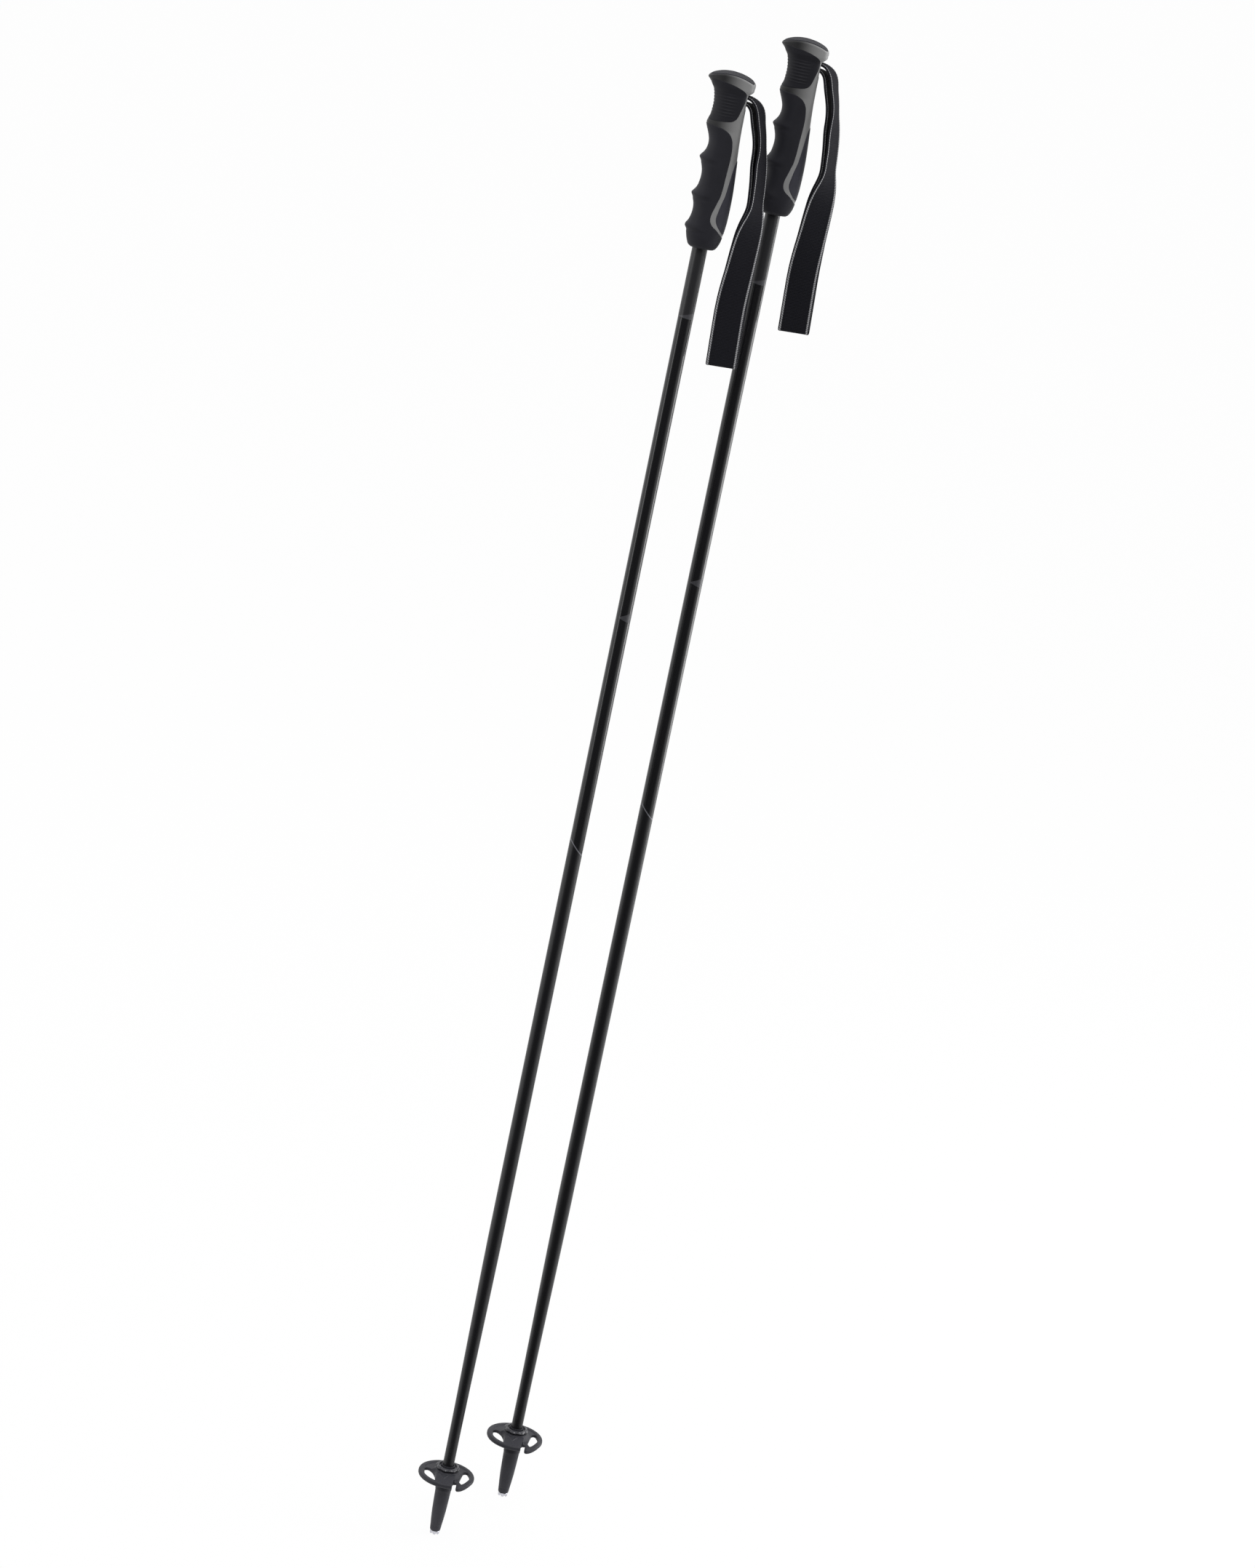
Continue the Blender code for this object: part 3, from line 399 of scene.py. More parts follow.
def gripSkin(h, phi, inset):
    front, rear, width, square = gripAt(h)
    x, y = oval(phi, front - inset, rear - inset, width - inset, square)
    return np.stack(np.broadcast_arrays(x, y, h + gripBase), axis=-1)


def edgeAngle(h, x):
    # the angle round a section where its side reaches that x
    front, rear, width, square = gripAt(h)
    share = np.clip(np.where(x >= 0, x / rear, -x / front), 0, 1)
    return np.arccos(np.where(x >= 0, share ** (square / 2), -share ** (grip["frontSquare"] / 2)))


headMiddle = (grip["headRear"] - grip["headFront"]) / 2


def crown(x):
    # the head's top: an arc from its front lip over to its lower rear lip
    span = grip["headFront"] + grip["headRear"]
    chord = math.hypot(span, grip["rearFall"])
    radius = (chord ** 2 / 4 + grip["crownRise"] ** 2) / (2 * grip["crownRise"])
    drop = (radius - grip["crownRise"]) / chord
    middleX = headMiddle - drop * grip["rearFall"]
    middleZ = grip["lip"] - grip["rearFall"] / 2 - drop * span
    return middleZ + np.sqrt(radius ** 2 - (x - middleX) ** 2)


def headRing(phi, margin):
    reaches = (grip[key] - margin for key in ("headFront", "headRear", "headWidth"))
    return oval(phi, *reaches, grip["neckSquare"])


def crownPlate(name, margin, low, high, rounding, steps=160, across=12, edgeRows=7):
    # a plate under the crown's arc: rings from its underside's middle outwards, up a rounded edge and in
    # over the top
    phi = fullTurn(steps)
    shrink = np.linspace(0, 1, across)
    turns = np.linspace(0, math.pi / 2, edgeRows)
    rings = [(margin, low, share) for share in shrink]
    rings += [(margin + rounding * (1 - np.cos(a)), high - rounding * (1 - np.sin(a)), 1.0) for a in turns]
    rings += [(margin + rounding, high, share) for share in shrink[::-1][1:]]
    rows = []
    for inset, lift, share in rings:
        x, y = headRing(phi, inset)
        x = share * x + (1 - share) * headMiddle
        rows.append(np.stack((x, share * y, crown(x) + lift + gripBase), axis=-1))
    return makeMesh(name, np.array(rows).reshape(-1, 3), gridFaces(len(rows), steps, True), merge=True)


def standing(name, outline, low, high):
    # an outline seen from above, carried from one height to another
    mesh = prism(name, outline, (high - low) / 2, upright=False)
    mesh.transform(Matrix.Translation((0, 0, (low + high) / 2 * mm)))
    return mesh


def boxMesh(name, low, high):
    (x0, y0, z0), (x1, y1, z1) = low, high
    return standing(name, [(x0, y0), (x1, y0), (x1, y1), (x0, y1)], z0, z1)


core = {
    "inset": 0.25, "insetFade": (126, 131), "bottom": 4.0, "rim": 1.3,
    "rows": 250, "cols": 176, "skirtRows": 13, "rimRows": 8, "topRows": 14,
    "capMargin": 1.4, "capDepth": 1.7, "pocketHigh": 8.0, "pocketEdge": 0.01,
    "wedge": ((-5.2, -7.8, 121.9), (5.4, 7.8, 145.0)),
    # strap slot: rounded on the finger side of the pin, opening between two angles towards the back
    "slotRadius": 4.1, "slotHalf": 9.9, "slotLift": 32, "slotDip": 38, "slotReach": 46, "slotSteps": 24,
    # grey tones fade from front to back; below a height the fade moves forwards, so the stripe is plain grey
    "dark": 0.022, "light": 0.27, "blue": 0.05, "fade": (-9.0, 12.0),
    "plainBelow": 92.0, "plainSoft": 12.0, "plainShift": 14.0,
}


def coreMesh():
    # rings up the grip's skin, a skirt stretched to the crown's edge, a rounded rim and rings over the top
    phi = fullTurn(core["cols"])
    skirtTop = grip["skirt"][1]
    rows = [np.stack((0 * phi, 0 * phi, np.full_like(phi, core["bottom"] + gripBase)), axis=-1)]
    for h in np.linspace(core["bottom"], skirtTop, core["rows"]):
        rows.append(gripSkin(h, phi, core["inset"] * (1 - ease(h, *core["insetFade"]))))
    lipX = headRing(phi, 0)[0]
    for v in np.linspace(0, 1, core["skirtRows"])[1:]:
        x, y = gripSkin(skirtTop + v * (grip["lip"] - skirtTop), phi, 0)[:, :2].T
        z = skirtTop + v * (crown(lipX) - core["rim"] - skirtTop)
        rows.append(np.stack((x, y, z + gripBase), axis=-1))
    for a in np.linspace(0, math.pi / 2, core["rimRows"])[1:]:
        x, y = headRing(phi, core["rim"] * (1 - math.cos(a)))
        rows.append(np.stack((x, y, crown(x) - core["rim"] * (1 - math.sin(a)) + gripBase), axis=-1))
    for share in np.linspace(1, 0, core["topRows"])[1:]:
        x, y = headRing(phi, core["rim"])
        x = share * x + (1 - share) * headMiddle
        rows.append(np.stack((x, share * y, crown(x) + gripBase), axis=-1))
    faces = gridFaces(len(rows), len(phi), True)
    mesh = makeMesh("gripCore", np.array(rows).reshape(-1, 3), faces, merge=True)

    pocket = crownPlate("capPocket", core["capMargin"], -core["capDepth"],
                        core["pocketHigh"], core["pocketEdge"])
    (x0, y0, z0), (x1, y1, z1) = core["wedge"]
    wedge = boxMesh("wedgePocket", (x0, y0, z0 + gripBase), (x1, y1, z1 + gripBase))
    up, down = math.radians(core["slotLift"]), math.radians(-core["slotDip"])
    a = np.linspace(up + math.pi / 2, down + 3 * math.pi / 2, core["slotSteps"])
    arc = np.stack((pinX + core["slotRadius"] * np.cos(a), pinZ + core["slotRadius"] * np.sin(a)), axis=-1)
    fan = [(core["slotReach"], edge[1] + (core["slotReach"] - edge[0]) * math.tan(turn))
           for edge, turn in ((arc[-1], down), (arc[0], up))]
    slot = prism("strapSlot", np.vstack((arc, fan)), core["slotHalf"])
    return shaped(mesh, [cutAway(pocket), cutAway(wedge), cutAway(slot)])


def coreLook():
    # grey moulding that fades to charcoal towards the finger side
    look, tree, shader, place = grainedLook("greyCore", {
        "fineness": 5.0, "patches": 0.09, "dark": 0.92, "light": 1.0, "blue": 0.0,
        "rough": 0.5, "shine": 0.25, "bump": 0.12})
    mottled = shader.inputs["Base Color"].links[0].from_socket
    axes = addNode(tree, "ShaderNodeSeparateXYZ", {"Vector": place})
    level = {"Place": place, "Level": gripBase + core["plainBelow"], "Soft": core["plainSoft"]}
    high = fillGroup(tree, edgeGroup, level)["Above"]
    shift = maths(tree, "MULTIPLY_ADD", high, -core["plainShift"], core["plainShift"])
    fade = smoothRange(tree, maths(tree, "ADD", axes.outputs["X"], shift), core["fade"])
    grey = toneMix(tree, fade, rgb(core["dark"], core["blue"]), rgb(core["light"]))
    fill(tree, shader, {"Base Color": toneMix(tree, 1.0, grey, mottled, "MULTIPLY")})
    return look


placeOnPoles("GripCore", coreMesh(), "pole", coreLook(), ["grip_core"])


pads = {
    "proud": 0.12, "depth": 1.5, "roll": 0.75, "rowStep": 0.42, "gather": 0.84,
    "shaftHole": 6.65, "floor": (3.0, 5.0), "bootRows": 30, "bootGather": 1.6,
    "farFront": -60, "topMargin": 0.4,
    # side outlines as (x, height), each from its lower end up the edge that meets the grey core
    "thumb": [(-13, 103), (-8, 103.4), (-3, 103.8), (1, 104.2), (4, 104.8), (6, 105.7), (7.8, 107.3),
              (9, 109.5), (9.9, 112.3), (10.9, 116), (11.9, 119.6), (12.5, 122.6), (12.7, 125.5),
              (12.5, 127.9), (11.6, 129.7), (9.8, 131.1), (7, 132.4), (3.5, 133.6), (0, 134.5),
              (-4, 135.2), (-8, 135.6), (-13, 135.8), (-19, 135.9)],
    "finger": [(16.6, 10.2), (15.2, 12.4), (13.1, 15), (10.3, 17.7), (6.8, 20.2), (4.9, 22.3),
               (3.9, 24.6), (3.65, 27), (3.9, 29.5), (4.5, 32.1), (5.5, 35.3), (6.9, 40.3), (8, 44.1),
               (8.6, 48.7), (8.95, 53), (9.15, 57.6), (9.35, 62.3), (9.6, 67.6), (9.8, 71.5), (9.95, 75),
               (9.95, 79), (9.7, 83.4), (9.1, 87.4), (8.1, 91.1), (5.6, 94.9), (1.8, 97.5), (-2.6, 99),
               (-7.3, 99.6), (-13, 99.8)],
    "heel": [(16.9, 12.8), (15.2, 14.7), (12.9, 17.3), (10.5, 20.5), (8.9, 23), (8.1, 25.4), (7.95, 27.4),
             (8.1, 29.5), (8.6, 32.3), (9.4, 36.6), (10.4, 40.9), (11.4, 45.2), (11.95, 49.6), (12.4, 54),
             (12.8, 58.1), (13.2, 62.7), (13.7, 67.5), (14.3, 71), (14.9, 73), (15.25, 74)],
    # finger ridges: rise, falling off below and above, and the crease under each
    "ridgeRise": 0.65, "ridgeBelow": 1.6, "ridgeAbove": 4.5, "ridgeFade": (3.0, -8.0),
    "creaseDrop": 3.4, "creaseDepth": 0.24, "creaseWidth": 1.2,
    "ribPitch": 2.5, "ribHeight": 0.3, "ribPower": 1.5, "ribStart": 108.6, "ribSpan": (107.8, 127.2),
    "ribFade": (7.0, 2.0), "ribEnds": 1.5, "ribFromEdge": (0.4, 2.2),
}


def distanceTo(chain, x, h):
    # shortest way, seen from the side, from each point to the outline's straight pieces
    a, b = chain[:-1], chain[1:]
    ab = b - a
    p = np.stack((x, h), axis=-1)[..., None, :] - a
    t = np.clip((p * ab).sum(-1) / np.maximum((ab * ab).sum(-1), 1e-9), 0, 1)
    return np.sqrt((((p - t[..., None] * ab) ** 2).sum(-1)).min(-1))


def padMesh(name, outline, cols, behind=False, boot=False, ribs=False):
    # skin rows between the two side edges, rolled down at the outline, closed by an inner skin and walls
    chain = smoothChain(outline, pads["rowStep"])
    edgeX, h = chain.T
    h = np.maximum.accumulate(h + np.arange(len(h)) * 1e-5)  # rows never turn back
    start = edgeAngle(h, edgeX)
    rings = 0
    if boot:  # whole rings below the outline, closer together at the foot
        rise = np.linspace(0, 1, pads["bootRows"])[:-1] ** pads["bootGather"] * h[0]
        h, start = np.concatenate((rise, h)), np.concatenate((0 * rise, start))
        start[len(rise)] = 0
        rings = len(rise)
    u = np.linspace(0, 1, cols)
    u = u - pads["gather"] * np.sin(2 * math.pi * u) / (2 * math.pi)
    begin, end = (-start, start) if behind else (start, 2 * math.pi - start)
    phi = begin[:, None] + (end - begin)[:, None] * u
    rowsH = np.repeat(h[:, None], cols, 1)
    flush = gripSkin(rowsH, phi, 0.0)
    limits = chain
    if not behind:  # the outline runs on across the front, above and, but for the boot, below
        limits = np.vstack((chain, [(pads["farFront"], chain[-1, 1] + pads["topMargin"])]))
        if not boot:
            limits = np.vstack(([(pads["farFront"], chain[0, 1])], limits))
    d = np.array([distanceTo(limits, row[:, 0], row[:, 2] - gripBase) for row in flush])
    near = np.clip(pads["roll"] - d, 0, pads["roll"])
    inset = pads["roll"] - np.sqrt(pads["roll"] ** 2 - near ** 2) - pads["proud"]
    if ribs:  # ribs across the thumb's place: a power of the cosine of the height, faded towards the edges
        turns = 2 * math.pi * (rowsH - pads["ribStart"]) / pads["ribPitch"]
        wave = np.clip(np.cos(turns), 0, 1) ** pads["ribPower"]
        lowH, highH = pads["ribSpan"]
        mask = ease(rowsH, lowH, lowH + pads["ribEnds"]) * (1 - ease(rowsH, highH - pads["ribEnds"], highH))
        mask = mask * ease(flush[..., 0], *pads["ribFade"]) * ease(d, *pads["ribFromEdge"])
        inset = inset - pads["ribHeight"] * wave * mask
    if boot:  # finger ridges: a bell curve, steeper below, over a narrow crease, faded towards the palm
        fade = ease(flush[..., 0], *pads["ridgeFade"])
        for level in grip["ridges"][:3]:
            up = rowsH - level
            bell = np.exp(-(up / np.where(up < 0, pads["ridgeBelow"], pads["ridgeAbove"])) ** 2)
            crease = np.exp(-((up + pads["creaseDrop"]) / pads["creaseWidth"]) ** 2)
            inset = inset - (pads["ridgeRise"] * bell - pads["creaseDepth"] * crease) * fade
    outer = gripSkin(rowsH, phi, inset)
    inner = gripSkin(rowsH, phi, pads["depth"])
    if boot:  # the floor closes round the shaft
        radius = pads["shaftHole"]
        hole = np.stack((radius * np.cos(phi), radius * np.sin(phi), rowsH + gripBase), axis=-1)
        inner += (hole - inner) * (1 - ease(rowsH, *pads["floor"]))[..., None]
    n = len(h)
    skin = gridFaces(n, cols)
    inside = n * cols  # the inner skin's first point
    c = np.arange(cols - 1)
    top = (n - 1) * cols + c
    r = np.arange(rings, n - 1) * cols
    end = r + cols - 1
    walls = [np.stack(corners, axis=-1) for corners in (
        (inside + c, inside + c + 1, c + 1, c), (top, top + 1, inside + top + 1, inside + top),
        (r, r + cols, inside + r + cols, inside + r), (inside + end, inside + end + cols, end + cols, end))]
    points = np.vstack((outer.reshape(-1, 3), inner.reshape(-1, 3)))
    return makeMesh(name, points, np.vstack([skin, skin[:, ::-1] + inside, *walls]), merge=True)


rubber = {"fineness": 3.2, "patches": 0.11, "blue": 0.28, "rough": 0.6, "shine": 0.2, "bump": 0.22}
# the heel pad's tones are set lighter than the other pads' partly as painted light: raised to stand in for
# the stronger light falling on the grip's back from the right
for word, slotName, cols, kind, dark, light in (
        ("thumb", "ribbed_rubber", 116, {"ribs": True}, 0.011, 0.018),
        ("finger", "finger_rubber", 116, {"boot": True}, 0.015, 0.023),
        ("heel", "heel_rubber", 72, {"behind": True}, 0.036, 0.049)):
    look = grainedLook(word + "Rubber", {**rubber, "dark": dark, "light": light})[0]
    padShape = padMesh(word + "Pad", pads[word], cols, **kind)
    placeOnPoles(word.title() + "Pad", padShape, "pole", look, [word + "_pad"])


# cap and wedge that lock the strap
cap = {
    "margin": 1.7, "low": -1.4, "high": 0.6, "rounding": 0.75,
    "wedge": ((-4.9, -7.5, 122.2), (5.1, 7.5, 140.4)),
    "fineness": 4.5, "patches": 0.1, "dark": 0.025, "light": 0.033, "blue": 0.2,
    "rough": 0.62, "shine": 0.06, "bump": 0.15,
}
wedgeLow, wedgeHigh = (np.array(corner) + (0, 0, gripBase) for corner in cap["wedge"])
capMesh = shaped(crownPlate("headCap", cap["margin"], cap["low"], cap["high"], cap["rounding"]),
                 [joinOn(boxMesh("wedge", wedgeLow, wedgeHigh))])
capLook = grainedLook("capPlastic", cap)[0]
placeOnPoles("HeadCap", capMesh, "strap_lock", capLook, ["strap_lock"])


strap = {
    # middle of the hanging loop from the pin, as (back, up)
    "route": [(0, 0), (7.7, -1.5), (13.7, -7), (17.2, -17.8), (20.7, -30.3), (23.7, -47.8), (26.2, -64.8),
              (27.9, -87.8), (27.2, -107.8), (26.3, -130.8), (25.5, -152.8), (25.5, -167.8),
              (26.2, -184.8), (27.5, -213)],
    # (way along the loop, turn in degrees): edge on above, face on below
    "twist": [(0, 0), (6, 1), (14, 12), (20, 14), (30, 11), (45, 11.5), (60, 19), (80, 21), (92, 23),
              (100, 33), (108, 46), (118, 58), (130, 65), (145, 70), (160, 78), (180, 87), (200, 90),
              (240, 90)],
    "width": 25.0, "rootWidth": 18.4, "thickness": 1.6, "layGap": 1.0, "stagger": 0.45,
    "widening": (4.3, 30.3), "closing": (20, 110), "staggering": (86.5, 130),
    "pinClear": 1.8, "chainStep": 0.5, "legSteps": 300, "turnSteps": 20,
    # profile, measured in from the webbing's edge
    "faceEnd": 2.8, "faceSteps": 6, "cordSpan": (2.5, 0.6), "cordSteps": 9, "edgeSteps": 9,
    "cordAt": 1.5, "cordSpread": 0.5, "cordRise": 0.22, "corner": 0.45,
}


def strapMesh():
    # a flat profile carried round two legs, the fold below and the turn about the pin
    route = smoothChain(strap["route"], strap["chainStep"])
    along = wayAlong(route)
    s = np.linspace(0, along[-1], strap["legSteps"])
    middle = np.stack((np.interp(s, along, route[:, 0]), 0 * s, np.interp(s, along, route[:, 1])), axis=1)
    tangent = np.gradient(middle, axis=0)
    tangent /= np.linalg.norm(tangent, axis=1)[:, None]
    out = np.stack((-tangent[:, 2], 0 * s, tangent[:, 0]), axis=1)
    across = np.array((0.0, 1.0, 0.0))
    turn = np.radians(np.interp(s, *smoothChain(strap["twist"], strap["chainStep"]).T))[:, None]
    normal = out * np.cos(turn) - across * np.sin(turn)
    wide = across * np.cos(turn) + out * np.sin(turn)
    root = strap["pinClear"] + strap["thickness"] / 2
    laid = (strap["layGap"] + strap["thickness"]) / 2
    spread = (root + (laid - root) * ease(s, *strap["closing"]))[:, None]
    stagger = (strap["stagger"] * ease(s, *strap["staggering"]))[:, None]
    half = (strap["rootWidth"] + (strap["width"] - strap["rootWidth"]) * ease(s, *strap["widening"])) / 2

    # both bends are half circles, from one leg's facing round by the loop's direction to the other's
    a = np.linspace(0, math.pi, strap["turnSteps"] + 1)[1:-1, None]
    bend = len(a)
    foldFacing, pinFacing = (np.cos(a) * normal[i] + np.sin(a) * tangent[i] for i in (-1, 0))
    fold = middle[-1] + spread[-1] * foldFacing - stagger[-1] * np.cos(a) * wide[-1]
    pinTurn = middle[0] - spread[0] * pinFacing
    centre = np.vstack((middle + spread * normal - stagger * wide, fold,
                        (middle - spread * normal + stagger * wide)[::-1], pinTurn))
    widths = np.vstack((wide, np.repeat(wide[-1:], bend, 0), wide[::-1], np.repeat(wide[:1], bend, 0)))
    normals = np.vstack((normal, foldFacing, -normal[::-1], -pinFacing))
    halves = np.concatenate((half, np.repeat(half[-1], bend), half[::-1], np.repeat(half[0], bend)))

    # profile: a face with the cord as a bell curve near its edge, round to the other face, then likewise
    # on the other side
    flatHalf, thick = strap["width"] / 2, strap["thickness"] / 2
    face = np.concatenate((np.linspace(flatHalf, strap["faceEnd"], strap["faceSteps"]),
                           np.linspace(*strap["cordSpan"], strap["cordSteps"])))
    rise = thick + strap["cordRise"] * np.exp(-((face - strap["cordAt"]) / strap["cordSpread"]) ** 2)
    edge = np.linspace(0, math.pi, strap["edgeSteps"])[1:-1]
    fromEdge = np.concatenate((face, strap["corner"] * (1 - np.sin(edge)), face[::-1]))[1:-1]
    up = np.concatenate((rise, thick * np.cos(edge), -rise[::-1]))[1:-1]
    side = np.repeat((-1.0, 1.0), len(up))
    fromEdge, up = np.concatenate((fromEdge, fromEdge[::-1])), np.concatenate((up, up[::-1]))
    reach = side * (halves[:, None] - fromEdge * halves[:, None] / flatHalf)
    points = centre[:, None] + widths[:, None] * reach[..., None] + normals[:, None] * up[:, None]
    points = points + (pinX, 0, pinZ)
    mesh = makeMesh("strap", points.reshape(-1, 3), gridFaces(*reach.shape, True, True))

    # webbing keeps the way along the loop, across the flat webbing and through it
    length = wayAlong(centre)
    full = length[-1] + np.linalg.norm(centre[0] - centre[-1])
    flat = np.stack(np.broadcast_arrays(length[:, None], reach * (flatHalf / halves)[:, None], up), axis=-1)
    note = mesh.attributes.new("webbing", "FLOAT_VECTOR", "POINT")
    note.data.foreach_set("vector", flat.astype(np.float32).ravel())
    return mesh, full


weave = {
    "stripeAt": 11.0, "stripeHalf": 0.8, "crisp": 4.0,
    "strandPitch": 1.9, "strandLean": 0.9, "strandDepth": 0.35, "strandLevel": 0.65,
    "ribPitch": 1.25, "warpPitch": 0.9, "warpShare": 0.4, "contrast": 0.3, "halfway": 0.5,
    "dark": 0.007, "light": 0.018, "blue": 0.3, "pale": 0.48, "paleBlue": 0.03,
    "rough": 0.8, "shine": 0.08, "bump": 0.5, "bumpDepth": 0.0003,
}


def webbingLook():
    # black webbing with fine crosswise ribs and a pale corded stripe near each edge
    look, tree, shader, place = newLook("blackWebbing", "webbing")
    axes = addNode(tree, "ShaderNodeSeparateXYZ", {"Vector": place}).outputs

    def wave(way, pitch):
        return maths(tree, "SINE", maths(tree, "MULTIPLY", way, 2 * math.pi / weave[pitch]))

    def scaled(value, times, plus):
        return maths(tree, "ADD", maths(tree, "MULTIPLY", value, weave[times]), weave[plus], clamp=True)

    fromMiddle = maths(tree, "ABSOLUTE", axes["Y"])
    fromStripe = maths(tree, "ABSOLUTE", maths(tree, "SUBTRACT", fromMiddle, weave["stripeAt"]))
    outOf = maths(tree, "DIVIDE", fromStripe, weave["stripeHalf"])
    stripe = maths(tree, "SUBTRACT", 1.0, outOf, clamp=True)
    stripe = maths(tree, "MULTIPLY", stripe, weave["crisp"], clamp=True)
    lean = maths(tree, "ADD", axes["X"], maths(tree, "MULTIPLY", fromMiddle, weave["strandLean"]))
    pale = maths(tree, "MULTIPLY", stripe, scaled(wave(lean, "strandPitch"), "strandDepth", "strandLevel"))
    warp = maths(tree, "MULTIPLY", wave(axes["Y"], "warpPitch"), weave["warpShare"])
    threads = maths(tree, "ADD", wave(axes["X"], "ribPitch"), warp)
    dark, light = (rgb(weave[key], weave["blue"]) for key in ("dark", "light"))
    tone = toneMix(tree, scaled(threads, "contrast", "halfway"), dark, light)
    tone = toneMix(tree, pale, tone, rgb(weave["pale"], weave["paleBlue"]))
    normal = bumpOf(tree, maths(tree, "ADD", threads, pale), weave["bump"], weave["bumpDepth"])
    fill(tree, shader, {"Base Color": tone, "Normal": normal, "Roughness": weave["rough"],
                        "Specular IOR Level": weave["shine"]})
    return look


webbing, loopLength = strapMesh()
straps = placeOnPoles("Strap", webbing, "strap", webbingLook(), ["strap"], crease=60)
print("strap loop", round(loopLength), "mm long")


ferrule = {
    # (radius, height) up the outside, with a fine groove above the nose and a bead under the basket, then
    # down the shaft's socket to the hole for the tip's stem
    "outline": [(2.8, 3.3), (4.1, 3.3), (4.45, 3.45), (4.6, 3.8), (4.95, 7.6), (4.86, 7.9), (4.98, 8.2),
                (5.55, 14), (6.15, 22), (6.5, 30), (6.82, 39), (6.95, 42.2), (7.18, 42.9), (7.28, 43.8),
                (7.2, 44.8), (7.12, 45.4), (7.2, 48.8), (7.0, 49.0), (6.5, 49.0), (6.5, 62.3),
                (6.0, 62.3), (6.0, 66.6), (5.2, 66.6), (5.2, 22.3), (0, 22.3), (0, 14.3), (2.8, 14.3)],
    "steps": 72,
}
plastic = {"fineness": 3.5, "patches": 0.13, "blue": 0.2, "rough": 0.5, "shine": 0.22, "bump": 0.15}
ferruleLook = grainedLook("ferrulePlastic", {**plastic, "dark": 0.030, "light": 0.041})[0]
ferruleMesh = revolve("ferrule", ferrule["outline"], ferrule["steps"])
placeOnPoles("Ferrule", ferruleMesh, "pole", ferruleLook, ["ferrule"])


basket = {
    # (radius, height) round the turned dish: hub, web and rim
    "outline": [(6.8, 49.3), (8.6, 49.3), (10.0, 53.4), (12.0, 55.0), (20.3, 55.3), (21.2, 54.7),
                (23.5, 54.5), (24.3, 54.8), (24.8, 55.8), (24.8, 57.4), (24.3, 58.4), (23.5, 58.7),
                (21.2, 58.6), (20.3, 57.9), (13.6, 58.2), (10.9, 61.4), (10.1, 62.3), (6.8, 62.3)],
    "bore": 6.8, "boreCut": (40, 75), "steps": 128, "voxel": 0.32, "smoothing": 6, "smoothFactor": 0.5,
    # windows seen from above
    "leftWindow": [(-19.8, 2.2), (-16.2, 4.2), (-10.4, -2.0), (-8.7, -6.4), (-8.7, -18.7), (-14.2, -15.0),
                   (-18.8, -8.7)],
    "rightWindow": [(12.1, -12.6), (13.4, 0.0), (14.6, 8.8), (17.6, 10.4), (20.5, 3.0), (20.2, -4.6),
                    (17.7, -10.6), (15.0, -14.2)],
    "cornerRadius": 2.2, "windowCut": (27, 87),
    # slit seen from above, rounding off the free end on its right; that end sags, eased round and outwards
    "slit": [(7.1, -34), (7.1, -15), (10.5, -15), (10.5, -19.1), (10.7, -20.2), (11.3, -21),
             (12.2, -21.35), (13.3, -21.0), (14.5, -21.2), (14.5, -34)],
    "slitCut": (49, 67),
    "sag": 2.5, "sagRound": (-18, -56), "sagOutwards": (17.5, 22.5), "sagBeside": (8.0, 10.4),
    # the same end thins to a rounded tip: (where it ends, how far back), least share and middle height
    "tongue": (10.4, 4.0), "tongueLeast": 0.3, "tongueOutwards": (17.0, 19.0), "rimMiddle": 56.6,
    # sloping front: from the hub's top edge down to the rim, as (front to back, height)
    "gusset": [(-8.5, 54.9), (-8.5, 61.8), (-10.4, 61.7), (-22.4, 58.4), (-22.8, 55.6)], "gussetHalf": 8.4,
    # raised V on the sloping front, each arm from and to (x, y, height), with its radius
    "veeArms": [((-5.2, -11.4, 61.3), (-1.8, -16.4, 60.0)), ((1.6, -11.4, 61.3), (-1.8, -16.4, 60.0))],
    "veeRadius": 0.75,
}


def rod(name, start, end, radius, steps=10):
    # a straight round bar between two points, pointed at both ends
    start, end = np.array(start), np.array(end)
    along = (end - start) / np.linalg.norm(end - start)
    one = np.cross(along, (0, 0, 1))
    one /= np.linalg.norm(one)
    two = np.cross(along, one)
    a = fullTurn(steps)[:, None]
    ring = radius * (np.cos(a) * one + np.sin(a) * two)
    rows = [start - along * radius + 0 * ring, start + ring, end + ring, end + along * radius + 0 * ring]
    return makeMesh(name, np.array(rows).reshape(-1, 3), gridFaces(4, steps, True), merge=True)


def roundedOutline(corners, radius, steps=7, most=0.45):
    # each corner swapped for a quadratic curve between points a radius back along its two sides,
    # or a share of the side where that is shorter
    p = np.array(corners, float)
    t = np.linspace(0, 1, steps)[:, None]
    result = []
    for back, here, ahead in zip(np.roll(p, 1, 0), p, np.roll(p, -1, 0)):
        one, two = (here + way * min(radius / np.linalg.norm(way), most)
                    for way in (back - here, ahead - here))
        result.append((1 - t) ** 2 * one + 2 * t * (1 - t) * here + t ** 2 * two)
    return np.vstack(result)


def hangFreeEnd(mesh):
    # the rim beside the slit thins by a quarter of an ellipse towards its end, then sags
    x, y, z = pointsOf(mesh).reshape(-1, 3).T
    outwards = np.hypot(x, y)
    beside = ease(x, *basket["sagBeside"])
    end, back = basket["tongue"]
    share = np.clip((x - end) / back, 0, 1)
    thin = (1 - np.sqrt(1 - (1 - share) ** 2)) * (1 - basket["tongueLeast"])
    thin *= ease(outwards, *basket["tongueOutwards"]) * beside * (y < 0)
    z -= (z - basket["rimMiddle"]) * thin
    around = ease(np.degrees(np.arctan2(y, x)), *basket["sagRound"])
    z -= basket["sag"] * around * ease(outwards, *basket["sagOutwards"]) * beside
    mesh.vertices.foreach_set("co", (np.stack((x, y, z), axis=-1) * mm).astype(np.float32).ravel())
    mesh.update()


